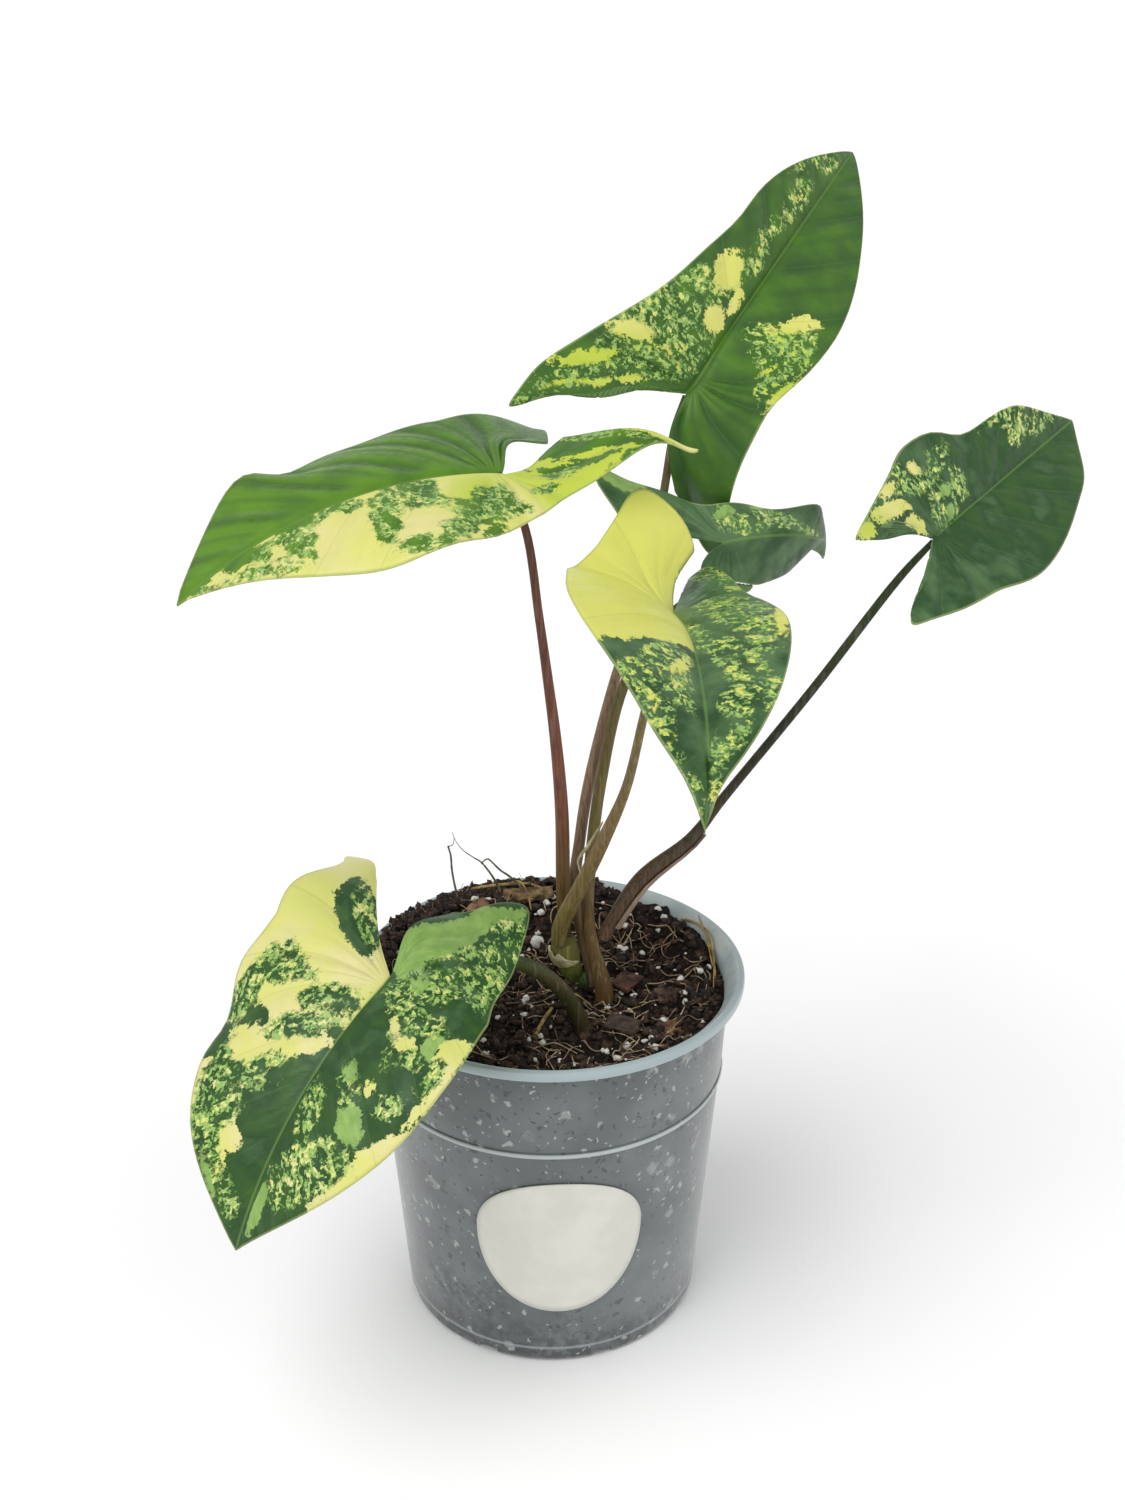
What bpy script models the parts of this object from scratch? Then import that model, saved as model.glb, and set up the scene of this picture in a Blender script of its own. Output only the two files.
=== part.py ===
"""Variegated arrowhead plant growing in a translucent nursery pot.

Units are metres and +Z is up. The origin is the centre of the pot's flat base, on the surface that
it stands on. The label on the pot faces -Y. Tables of leaves and stems are in millimetres.
"""

import math
import random

import bmesh
import bpy
import numpy as np
from mathutils import Matrix, Vector

MM = 0.001
GAP = 0.3  # clearance between pieces that touch

# Pot, in millimetres
POT_HEIGHT = 114.6
POT_WALL = 1.2
BASE_RADIUS = 47.3
BASE_FILLET = 2.2
SHOULDER_HEIGHT = 82.0
SHOULDER_RADIUS = 53.4
RING_PROUD = 0.9
COLLAR_TOP = 110.6
COLLAR_RADIUS = 55.3
LIP_RADIUS = 60.0
LIP_DEPTH = 3.2
POT_SIDES = 48
DRAIN_SLOTS = 8
DRAIN_SLOT_SIZE = (8.0, 7.0, 3.4)
FIRST_SLOT_ANGLE = -70.0
DRAIN_HOLES = 6
DRAIN_HOLE_RADIUS = 3.5
DRAIN_HOLE_CIRCLE = 27.0

# Label, in millimetres
LABEL_CENTRE_ANGLE = 3.2
LABEL_MIDDLE = 53.0
LABEL_HALF_WIDTH = 25.6
LABEL_UP = 18.8
LABEL_DOWN = 31.2
LABEL_SQUARENESS = 2.35
LABEL_THICKNESS = 0.5

# Soil, in millimetres
SOIL_LEVEL = 101.0
SOIL_HEAP = 12.5
SOIL_RINGS = 9
GRAIN_COUNT = 60
GRAIN_HEIGHTS = (0.6, 1.7)
GRAIN_RADII = (2.4, 4.4)
SOIL_SEED = 7
BURIED_END = 86.0
HOLE_CLEARANCE = 0.5
SOIL_GAP = 0.55

# Leaves
LEAF_THICKNESS = 0.8
MARGIN_STEPS = 3
LEAF_RINGS = 5
CURL_OVER = 40.0
DROOP_OVER = 22.0


def half(width, belly, waist, lobe, splay, plump, inner, lift, curl, droop,
         ripple=0.0, waves=1.6, phase=0.0, pointed=False):
    """One half of a leaf blade: its flat outline, then how it is folded, curled and waved."""
    return {"width": width, "belly": belly, "waist": waist, "lobe": lobe, "splay": splay,
            "plump": plump, "inner": inner, "lift": lift, "curl": curl, "droop": droop,
            "ripple": ripple, "waves": waves, "phase": phase, "pointed": pointed}


# Each leaf: where its stalk meets it, where its midrib points, and its two halves.
LEAVES = {
    "left": {
        "seat": (-13, 0, 270), "heading": 213, "pitch": 10, "roll": -12,
        "length": 100, "bow": 47, "sweep": 3, "skew": -24,
        "left": half(40, 0.42, 0.64, 65, 36, 0.17, 0.24, 7, 18, -31, -3.6, 1.8, 20, True),
        "right": half(42, 0.20, 0.91, 62, 37, 0.18, 0.14, 4, 18, 5, -4.3, 1.1, -34),
    },
    "top": {
        "seat": (40.4, 44, 283.2), "heading": 46, "pitch": 40, "roll": 44,
        "length": 129, "bow": 29, "sweep": 0, "skew": 3,
        "left": half(24, 0.18, 1.41, 56, 44, 0.19, -0.04, 27, 14, 0),
        "right": half(28, 0.37, 0.89, 55, 41, 0.14, 0.12, 10, 15, 70),
    },
    "right": {
        "seat": (111, 16, 247), "heading": 50, "pitch": 13, "roll": 39,
        "length": 93, "bow": 3, "sweep": 0, "skew": -3,
        "left": half(25, 0.11, 0.90, 38, 24, 0.23, -0.14, 26, 22, -5, 1.0, 1.6, 9),
        "right": half(29, 0.23, 0.83, 39, 20, 0.24, -0.02, 13, 16, -1),
    },
    "front": {
        "seat": (32.6, -35, 241), "heading": 276, "pitch": 13, "roll": -11,
        "length": 102.5, "bow": 43, "sweep": -1, "skew": 13,
        "left": half(24.7, 0.29, 0.87, 54, 5, 0.16, 0.14, 26, 21, -14),
        "right": half(33.5, 0.33, 0.92, 55, 21, 0.20, 0.26, 26, 26, -41),
    },
    "back": {
        "seat": (50.3, 21, 244.1), "heading": 10, "pitch": 10, "roll": 35,
        "length": 66, "bow": 94, "sweep": 18, "skew": 11,
        "left": half(15, 0.24, 0.89, 42, 47, 0.18, 0.33, 3, 18, -2, 5.3, 1.8, 31),
        "right": half(18, 0.33, 0.84, 39, 48, 0.18, 0.14, -69, 20, 71),
    },
    "low": {
        "seat": (-45, -45, 137), "heading": 230, "pitch": -21, "roll": 0,
        "length": 87, "bow": 49, "sweep": -3, "skew": -28,
        "left": half(41, 0.22, 0.86, 59, 38, 0.25, 0.18, 6, 17, 20, 3.2, 1.3, -5),
        "right": half(44, 0.19, 1.03, 58, 42, 0.19, 0.07, 16, 21, 24, -3.9, 1.1, -45),
    },
}

# Stems: (x, y, z, radius) from the foot up to the tip close under the leaf.
CANE = [(7.6, 12.2, BURIED_END, 3.2), (7.6, 12.2, 98, 3.2), (7.4, 12, 103.5, 3.2),
        (6.0, 10.6, 108, 3.6), (4.7, 9.4, 114, 4.2), (4.0, 9.0, 118, 4.0)]
STALKS = {
    "left": [(4.4, 11.6, 119, 2.0), (3.8, 11, 135, 2.2), (3.4, 9, 162, 2.1), (1.7, 7, 186, 1.8),
             (-0.9, 5, 209, 1.5), (-3.1, 3, 227, 1.3), (-6.9, 1.5, 254, 1.2), (-13, 0, 268.5, 0.9)],
    "top": [(13.7, 10, BURIED_END, 2.2), (13.7, 10, 97, 2.2), (13.4, 10.3, 104, 2.2),
            (10.6, 13, 115, 2.0), (7.4, 14.4, 133, 1.9), (9, 16, 150, 1.8), (11.5, 18, 167, 1.8),
            (19, 21.5, 199.3, 1.6), (29.4, 35.5, 228, 1.4), (34.2, 43.5, 253, 1.3),
            (37.1, 44.5, 272.4, 1.2), (40.1, 45.4, 282, 0.9)],
    "front": [(2.2, 6.4, 118.6, 2.2), (3.0, 5.6, 125, 2.6), (8.7, 2, 140, 2.4), (16, -4, 160, 2.1),
              (22, -10, 179, 1.5), (26.1, -20, 205, 1.25), (29.3, -28, 226, 1.1),
              (32.3, -35.5, 239.5, 0.9)],
    "back": [(16.8, 2.6, BURIED_END, 2.9), (16.8, 2.6, 97, 2.9), (16.6, 2.8, 103.5, 2.9),
             (12.8, 6, 119, 2.1), (11.4, 8.4, 130, 2.0), (13, 12, 152, 1.9), (15.1, 14, 169, 1.8),
             (22.1, 17, 201, 1.6), (31.2, 24, 220, 1.4), (41.5, 28, 233, 1.2),
             (46.5, 27, 238.6, 1.0), (50.1, 22.9, 242.8, 0.8)],
    "right": [(16.2, 9.2, 119, 2.2), (28, 11, 138.6, 2.5), (43, 12, 152, 1.9), (52.4, 13, 165, 1.5),
              (78.2, 14.5, 200.4, 1.35), (102, 16, 235, 1.2), (111, 16.8, 245.6, 0.9)],
    "low": [(10.5, -17, BURIED_END, 2.6), (10.5, -17, 96, 2.6), (10.2, -17.1, 101, 2.6),
            (6.6, -18, 111, 2.5), (0.8, -21, 121, 2.4), (-6.8, -25, 128.7, 2.3),
            (-17, -31, 134.5, 1.9), (-32, -40, 136.8, 1.4), (-45, -45, 135.4, 0.9)],
}

# Where stems go down into the soil: centre and radius.
SOIL_HOLES = [CANE[0], STALKS["top"][0], STALKS["back"][0], STALKS["low"][0]]
TWIG_END = 106.0

# The papery sheath at the foot of the right stalk, and the torn cuff round the top of the cane.
SHEATH_SPAN = (0.03, 0.36)
SHEATH_WRAP = 150.0
CUFF_HEIGHTS = (112.0, 115.6)
CUFF_WRAP = 210.0
PAPER_THICKNESS = 0.7

# A dry curl that peels from the front stalk, a bud at the cane's foot, and litter on the soil.
DRY_CURL = [(8.2, -0.8, 147.5, 0.4), (10.3, -2.4, 153, 0.5), (12.9, -4.8, 160, 0.5),
            (14.0, -7.4, 164.5, 0.4)]
BUD_PLACE = (10.2, 5.2)
BUD_SIZE = (1.7, 6.5)
BARK_CHIPS = {
    "bark_chip_ribbed": ((39, -17), (9.0, 8.0, 1.8), 20),
    "bark_chip_red": ((24, 10), (8.0, 10.0, 1.6), -35),
    "bark_chip_dark": ((22, -16), (9.0, 11.0, 1.5), 70),
    "bark_chip_side": ((38, 1), (11.0, 8.0, 1.6), 15),
    "bark_chip_back": ((-8, 46), (18.0, 6.0, 2.0), 8),
    "bark_chip_left": ((-24, 38), (8.0, 6.0, 1.6), 40),
}
DRY_TWIGS = {
    "dry_twig_tall": [(-33, 41, TWIG_END, 0.55), (-33, 41, 115, 0.55), (-35, 40, 128, 0.5),
                      (-34.5, 40, 133, 0.45)],
    "dry_twig_leaning": [(-21, 44, TWIG_END, 0.6), (-21, 44, 115, 0.6), (-25, 43, 124, 0.55),
                         (-32, 41, 130, 0.45)],
    "dry_twig_arched": [(-11.5, 36, TWIG_END, 0.55), (-11.5, 36, 114, 0.55), (-18, 37.4, 123, 0.5),
                        (-23.4, 38.4, 127.2, 0.45), (-27, 38.6, 124.4, 0.45)],
}

COLOURS = {
    "pot": (0.42, 0.50, 0.53), "label": (0.80, 0.78, 0.70), "soil": (0.035, 0.022, 0.015),
    "cane": (0.36, 0.40, 0.10), "stalk": (0.24, 0.16, 0.08), "leaf": (0.16, 0.32, 0.08),
    "paper": (0.55, 0.42, 0.30), "bark": (0.20, 0.09, 0.04), "twig": (0.16, 0.12, 0.08),
}
ROUGHNESS = {"pot": 0.45, "label": 0.55, "leaf": 0.38, "cane": 0.5, "stalk": 0.5}


def clear_scene():
    for obj in list(bpy.data.objects):
        bpy.data.objects.remove(obj, do_unlink=True)


def material(name, finish):
    made = bpy.data.materials.new(name)
    made.use_nodes = True
    shader = made.node_tree.nodes["Principled BSDF"]
    shader.inputs["Base Color"].default_value = (*COLOURS[finish], 1.0)
    shader.inputs["Roughness"].default_value = ROUGHNESS.get(finish, 0.85)
    shader.inputs["Metallic"].default_value = 0.0
    return made


def place(name, data, parent):
    """Puts mesh or curve data in the scene as one named object."""
    obj = bpy.data.objects.new(name, data)
    bpy.context.scene.collection.objects.link(obj)
    obj.parent = bpy.data.objects[parent] if parent else None
    return obj


def add_object(name, bm, finish, parent="plant"):
    """Turns a bmesh in millimetres into a named object in metres."""
    bmesh.ops.scale(bm, vec=(MM, MM, MM), verts=bm.verts)
    mesh = bpy.data.meshes.new(name)
    bm.to_mesh(mesh)
    bm.free()
    mesh.shade_smooth()
    mesh.set_sharp_from_angle(angle=math.radians(40))
    mesh.materials.append(material(name, finish))
    return place(name, mesh, parent)


def thicken(obj, thickness):
    shell = obj.modifiers.new("Thickness", "SOLIDIFY")
    shell.thickness = thickness * MM
    shell.offset = 0.0
    shell.use_even_offset = False


def spline(points, steps):
    """Points along a smooth curve through the given ones, evenly stepped in each span."""
    points = np.asarray(points, float)
    ends = np.vstack([2 * points[0] - points[1], points, 2 * points[-1] - points[-2]])
    found = []
    for before, start, stop, after in zip(ends, ends[1:], ends[2:], ends[3:]):
        first, middle, last = (max(np.linalg.norm(b - a) ** 0.5, 1e-6)
                               for a, b in ((before, start), (start, stop), (stop, after)))
        leave = middle * ((start - before) / first - (stop - before) / (first + middle)
                          + (stop - start) / middle)
        arrive = middle * ((stop - start) / middle - (after - start) / (middle + last)
                           + (after - stop) / last)
        for t in np.arange(steps) / steps:
            found.append((2 * t**3 - 3 * t**2 + 1) * start + (t**3 - 2 * t**2 + t) * leave
                         + (3 * t**2 - 2 * t**3) * stop + (t**3 - t**2) * arrive)
    found.append(points[-1])
    return np.array(found)


def smoothstep(value):
    value = min(max(value, 0.0), 1.0)
    return value * value * (3 - 2 * value)


# Leaves


def half_outline(length, shape, steps):
    """Flat outline of one half from the tip round the basal lobe to its inner edge.

    x runs along the midrib from the stalk, and y out from the midrib.
    """
    lobe, splay = shape["lobe"], math.radians(shape["splay"])
    lobe_tip = np.array([-lobe * math.cos(splay), lobe * math.sin(splay)])
    outward = np.array([math.sin(splay), math.cos(splay)]) * lobe
    points = [(length, 0), (0.66 * length, 0.66 * shape["width"]),
              (shape["belly"] * length, shape["width"]), (-0.10 * lobe, shape["waist"] * shape["width"])]
    if shape["pointed"]:
        points += [0.62 * lobe_tip + shape["plump"] * outward, 0.82 * lobe_tip + 0.07 * outward, lobe_tip,
                   0.84 * lobe_tip - 0.02 * outward, 0.5 * lobe_tip - shape["inner"] * outward]
    else:
        points += [0.74 * lobe_tip + shape["plump"] * outward, lobe_tip,
                   0.55 * lobe_tip - shape["inner"] * outward]
    outline = spline(points, steps)
    outline[:, 1] = np.maximum(outline[:, 1], 0.0)
    return outline


def arc(distance, turn, over):
    """How far an arc goes along and down, when it turns by turn degrees in each stretch of over."""
    rate = math.radians(turn) / over
    if abs(rate) < 1e-9:
        return distance, 0.0
    return math.sin(rate * distance) / rate, (1 - math.cos(rate * distance)) / rate


def leaf_point(leaf, side, x, out):
    """Where a point of the flat leaf lies once the leaf is folded, bowed and drooped.

    The leaf's own axes are +X along the midrib, +Y to its left and +Z out of its upper face.
    """
    shape = leaf[side]
    lift = math.radians(shape["lift"])
    across, down = arc(out, shape["curl"], CURL_OVER)
    wave = math.sin(2 * math.pi * shape["waves"] * x / leaf["length"] + math.radians(shape["phase"]))
    away = across * math.cos(lift) + down * math.sin(lift)
    up = across * math.sin(lift) - down * math.cos(lift) + shape["ripple"] * (out / CURL_OVER) ** 2 * wave
    if x >= 0:
        forward, fall = arc(x, leaf["bow"], leaf["length"])
        turned = math.radians(leaf["bow"]) * x / leaf["length"]
        along, high = forward + up * math.sin(turned), up * math.cos(turned) - fall
        shift = leaf["sweep"] * (x / leaf["length"]) ** 2
    else:
        bent = min(-x, DROOP_OVER)
        turned = math.radians(shape["droop"]) * bent / DROOP_OVER
        backward, fall = arc(bent, shape["droop"], DROOP_OVER)
        backward += (-x - bent) * math.cos(turned)
        fall += (-x - bent) * math.sin(turned)
        along, high = -backward - up * math.sin(turned), up * math.cos(turned) - fall
        shift = -x * math.tan(math.radians(leaf["skew"]))
    return Vector((along, (away if side == "left" else -away) + shift, high))


def make_leaf(name, leaf):
    """A blade as a fan of rays from the stalk to the margin, given its thickness by a modifier."""
    right = half_outline(leaf["length"], leaf["right"], MARGIN_STEPS)
    left = half_outline(leaf["length"], leaf["left"], MARGIN_STEPS)
    rays = [("right", *point) for point in right[::-1]] + [("left", *point) for point in left[1:]]
    bm = bmesh.new()
    bmesh.ops.create_grid(bm, x_segments=len(rays) - 1, y_segments=LEAF_RINGS, size=0.5)
    for vert in bm.verts:
        side, x, out = rays[round((vert.co.x + 0.5) * (len(rays) - 1))]
        reach = vert.co.y + 0.5
        vert.co = leaf_point(leaf, side, x * reach, out * reach)
    bmesh.ops.remove_doubles(bm, verts=bm.verts, dist=0.001)
    bmesh.ops.triangulate(bm, faces=bm.faces)
    obj = add_object(f"leaf_{name}", bm, "leaf")
    obj.location = Vector(leaf["seat"]) * MM
    obj.rotation_euler = [math.radians(turn) for turn in (leaf["roll"], -leaf["pitch"], leaf["heading"])]
    thicken(obj, LEAF_THICKNESS)


# Stems


def tube(name, points, finish, steps=2):
    """A round stem through (x, y, z, radius) points."""
    path = spline(points, steps)
    curve = bpy.data.curves.new(name, "CURVE")
    curve.dimensions = "3D"
    curve.bevel_depth = MM
    curve.bevel_resolution = 2
    curve.use_fill_caps = True
    line = curve.splines.new("POLY")
    line.points.add(len(path) - 1)
    for point, (x, y, z, radius) in zip(line.points, path):
        point.co = (x * MM, y * MM, z * MM, 1.0)
        point.radius = radius
    curve.materials.append(material(name, finish))
    place(name, curve, "plant")


def make_wrap(name, spine, radii, wrap, facing, ragged, seed):
    """A papery shell that wraps part of the way round a stem, with a ragged upper edge."""
    rng = random.Random(seed)
    columns, rows = 8, len(spine) - 1
    bm = bmesh.new()
    bmesh.ops.create_grid(bm, x_segments=columns, y_segments=rows, size=0.5)
    tears = [rng.uniform(-ragged, ragged) for _ in range(columns + 1)]
    for vert in bm.verts:
        column, row = round((vert.co.x + 0.5) * columns), round((vert.co.y + 0.5) * rows)
        ahead = Vector(spine[min(row + 1, rows)]) - Vector(spine[max(row - 1, 0)])
        turn = ahead.to_track_quat("Z", "Y").to_matrix()
        angle = math.radians(facing + wrap * (column / columns - 0.5) * (1 - 0.6 * row / rows))
        edge = ahead.normalized() * tears[column] if row == rows else Vector()
        around = turn @ Vector((math.cos(angle), math.sin(angle), 0))
        vert.co = Vector(spine[row]) + around * radii[row] + edge
    bmesh.ops.triangulate(bm, faces=bm.faces)
    obj = add_object(name, bm, "paper")
    thicken(obj, PAPER_THICKNESS)


def make_sheath():
    path = spline(STALKS["right"], 4)
    first, last = (round(share * (len(path) - 1)) for share in SHEATH_SPAN)
    part = path[first:last + 1]
    clear = GAP + PAPER_THICKNESS / 2 + 0.15
    make_wrap("stalk_sheath", [tuple(point[:3]) for point in part], [point[3] + clear for point in part],
              SHEATH_WRAP, -90, 1.2, 3)


def make_cuff():
    low, high = CUFF_HEIGHTS
    levels = np.linspace(low, high, 4)
    cane = spline(CANE, 8)
    spine, radii = [], []
    for level in levels:
        x, y, z, radius = cane[np.argmin(abs(cane[:, 2] - level))]
        spine.append((x, y, level))
        radii.append(radius + GAP + PAPER_THICKNESS / 2 + 0.25)
    make_wrap("cane_cuff", spine, radii, CUFF_WRAP, -100, 0.9, 5)


def make_bud():
    radius, height = BUD_SIZE
    bm = bmesh.new()
    bmesh.ops.create_uvsphere(bm, u_segments=10, v_segments=6, radius=1.0)
    for vert in bm.verts:
        taper = 1 - 0.35 * max(vert.co.z, 0)
        vert.co = Vector((vert.co.x * radius * taper, vert.co.y * radius * taper, vert.co.z * height / 2))
    bmesh.ops.rotate(bm, verts=bm.verts, cent=(0, 0, 0), matrix=Matrix.Rotation(math.radians(8), 3, "Y"))
    x, y = BUD_PLACE
    bmesh.ops.translate(bm, verts=bm.verts, vec=(x, y, soil_height(x, y) + 0.6 + height / 2))
    add_object("bud", bm, "cane")


# Pot


def pot_outer():
    """The pot's outer profile from the base up, as (radius, height)."""
    corner = [(BASE_RADIUS - BASE_FILLET * (1 - math.sin(math.radians(angle))),
               BASE_FILLET * (1 - math.cos(math.radians(angle)))) for angle in (0, 30, 60, 90)]
    ring = SHOULDER_RADIUS + RING_PROUD
    lip_foot = POT_HEIGHT - LIP_DEPTH
    return corner + [
        (SHOULDER_RADIUS, SHOULDER_HEIGHT - 1.2), (ring, SHOULDER_HEIGHT - 0.5),
        (ring, SHOULDER_HEIGHT + 0.5), (SHOULDER_RADIUS + 0.5, SHOULDER_HEIGHT + 1.2),
        (COLLAR_RADIUS, COLLAR_TOP),
        (LIP_RADIUS - 0.8, lip_foot), (LIP_RADIUS, lip_foot + 0.7), (LIP_RADIUS, POT_HEIGHT - 0.7),
        (LIP_RADIUS - 0.7, POT_HEIGHT)]


def pot_inner():
    """The pot's inner profile from the lip down to the floor, as (radius, height)."""
    return [(LIP_RADIUS - 1.7, POT_HEIGHT), (LIP_RADIUS - 2.6, POT_HEIGHT - 0.6),
            (COLLAR_RADIUS - 0.2, COLLAR_TOP + 1.0), (COLLAR_RADIUS - POT_WALL, COLLAR_TOP - 2.0),
            (SHOULDER_RADIUS + 0.5 - POT_WALL, SHOULDER_HEIGHT + 1.2),
            (SHOULDER_RADIUS - POT_WALL, SHOULDER_HEIGHT - 1.2),
            (BASE_RADIUS - POT_WALL + 0.1, BASE_FILLET + 1.0), (BASE_RADIUS - 3.2, POT_WALL)]


def radius_at(profile, height):
    ordered = sorted((z, r) for r, z in profile)
    return float(np.interp(height, [z for z, _ in ordered], [r for _, r in ordered]))


def turned(profile, sides):
    """A solid of revolution round Z from a closed profile of (radius, height) points."""
    bm = bmesh.new()
    verts = [bm.verts.new((radius, 0, height)) for radius, height in profile]
    edges = [bm.edges.new(pair) for pair in zip(verts, verts[1:])]
    bmesh.ops.spin(bm, geom=verts + edges, cent=(0, 0, 0), axis=(0, 0, 1), angle=math.tau, steps=sides,
                   use_merge=True, use_duplicate=False)
    bmesh.ops.remove_doubles(bm, verts=bm.verts, dist=0.001)
    bmesh.ops.recalc_face_normals(bm, faces=bm.faces)
    return bm


def cutter(name, bm):
    obj = add_object(name, bm, "pot", "pot")
    obj.hide_render = True
    obj.display_type = "WIRE"
    return obj


def cut(obj, tool):
    step = obj.modifiers.new(tool.name, "BOOLEAN")
    step.operation = "DIFFERENCE"
    step.solver = "EXACT"
    step.object = tool


def make_pot():
    profile = [(0, 0)] + pot_outer() + pot_inner() + [(0, POT_WALL)]
    pot = add_object("pot", turned(profile, POT_SIDES), "pot", None)
    slots = bmesh.new()
    for index in range(DRAIN_SLOTS):
        angle = math.radians(FIRST_SLOT_ANGLE + 360 * index / DRAIN_SLOTS)
        matrix = Matrix.Rotation(angle, 4, "Z") @ Matrix.Translation((BASE_RADIUS - 1.5, 0, 0))
        matrix = matrix @ Matrix.Diagonal((*DRAIN_SLOT_SIZE, 1))
        bmesh.ops.create_cube(slots, size=1.0, matrix=matrix)
    cut(pot, cutter("slot_cutter", slots))
    holes = bmesh.new()
    for index in range(DRAIN_HOLES):
        angle = math.tau * (index + 0.5) / DRAIN_HOLES
        spot = Matrix.Rotation(angle, 4, "Z") @ Matrix.Translation((DRAIN_HOLE_CIRCLE, 0, 0))
        bmesh.ops.create_cone(holes, cap_ends=True, segments=16, radius1=DRAIN_HOLE_RADIUS,
                              radius2=DRAIN_HOLE_RADIUS, depth=8, matrix=spot)
    cut(pot, cutter("hole_cutter", holes))


def make_label():
    """A blank sticker with a rounded egg outline, bent round the front of the pot."""
    bm = bmesh.new()
    bmesh.ops.create_grid(bm, x_segments=28, y_segments=4, size=0.5)
    for vert in bm.verts:
        turn, reach = math.tau * (vert.co.x + 0.5), vert.co.y + 0.5
        vert.co = (reach * math.cos(turn), reach * math.sin(turn), 0)
    bmesh.ops.remove_doubles(bm, verts=bm.verts, dist=0.001)
    for vert in bm.verts:
        reach = math.hypot(vert.co.x, vert.co.y)
        angle = math.atan2(vert.co.y, vert.co.x)
        power = 2 / LABEL_SQUARENESS
        across = math.copysign(abs(math.cos(angle)) ** power, math.cos(angle)) * LABEL_HALF_WIDTH * reach
        tall = LABEL_UP if vert.co.y > 0 else LABEL_DOWN
        height = LABEL_MIDDLE + math.copysign(abs(math.sin(angle)) ** power, math.sin(angle)) * tall * reach
        radius = radius_at(pot_outer(), height) + GAP + LABEL_THICKNESS / 2
        turn = math.radians(-90 + LABEL_CENTRE_ANGLE) + across / radius
        vert.co = (radius * math.cos(turn), radius * math.sin(turn), height)
    bmesh.ops.triangulate(bm, faces=bm.faces)
    bmesh.ops.recalc_face_normals(bm, faces=bm.faces)
    obj = add_object("label", bm, "label", "pot")
    thicken(obj, LABEL_THICKNESS)


# Soil and what lies on it


def soil_grains():
    rng = random.Random(SOIL_SEED)
    grains = []
    for _ in range(GRAIN_COUNT):
        angle, reach = rng.uniform(0, math.tau), 52 * math.sqrt(rng.random())
        grains.append((reach * math.cos(angle), reach * math.sin(angle),
                       rng.uniform(*GRAIN_HEIGHTS), rng.uniform(*GRAIN_RADII)))
    return grains


GRAINS = soil_grains()


def soil_height(x, y):
    """The soil lies level in front, and is banked up against the back left of the pot."""
    heap = SOIL_HEAP * smoothstep((y - 2) / 48) * smoothstep((26 - x) / 26)
    roll = 0.7 * math.sin(0.21 * x + 0.6) * math.cos(0.17 * y - 0.4)
    bumps = max(height * math.exp(-((x - gx) ** 2 + (y - gy) ** 2) / radius**2)
                for gx, gy, height, radius in GRAINS)
    return SOIL_LEVEL + heap + roll + bumps


def make_soil():
    inner = pot_inner()
    knots = (COLLAR_TOP + 1.0, COLLAR_TOP - 2.0, SHOULDER_HEIGHT + 1.2, SHOULDER_HEIGHT - 1.2,
             BASE_FILLET + 1.0, POT_WALL + GAP)
    bm = bmesh.new()
    rows = SOIL_RINGS + len(knots)
    bmesh.ops.create_grid(bm, x_segments=POT_SIDES, y_segments=rows, size=0.5)
    for vert in bm.verts:
        turn = math.tau * (vert.co.x + 0.5)
        row = round((vert.co.y + 0.5) * rows)
        edge_radius = radius_at(inner, SOIL_LEVEL + 4) - SOIL_GAP
        edge_height = soil_height(edge_radius * math.cos(turn), edge_radius * math.sin(turn))
        if row <= SOIL_RINGS:
            reach = (radius_at(inner, edge_height) - SOIL_GAP) * row / SOIL_RINGS
            x, y = reach * math.cos(turn), reach * math.sin(turn)
            height = soil_height(x, y) if row < SOIL_RINGS else edge_height
        else:
            step = row - SOIL_RINGS
            height = min(knots[step - 1], edge_height - 0.5 * step)
            reach = radius_at(inner, height) - SOIL_GAP
            x, y = reach * math.cos(turn), reach * math.sin(turn)
        vert.co = (x, y, height)
    bmesh.ops.remove_doubles(bm, verts=bm.verts, dist=0.001)
    bmesh.ops.holes_fill(bm, edges=bm.edges, sides=0)
    bmesh.ops.triangulate(bm, faces=bm.faces)
    bmesh.ops.recalc_face_normals(bm, faces=bm.faces)
    soil = add_object("soil", bm, "soil", "pot")
    wells = bmesh.new()
    for x, y, foot, radius in SOIL_HOLES + [points[0] for points in DRY_TWIGS.values()]:
        wide = radius + HOLE_CLEARANCE
        bmesh.ops.create_cone(wells, cap_ends=True, segments=16 if radius > 1 else 8,
                              radius1=wide, radius2=wide, depth=50,
                              matrix=Matrix.Translation((x, y, foot - GAP + 25)))
    cut(soil, cutter("stem_wells", wells))
    return soil


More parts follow.
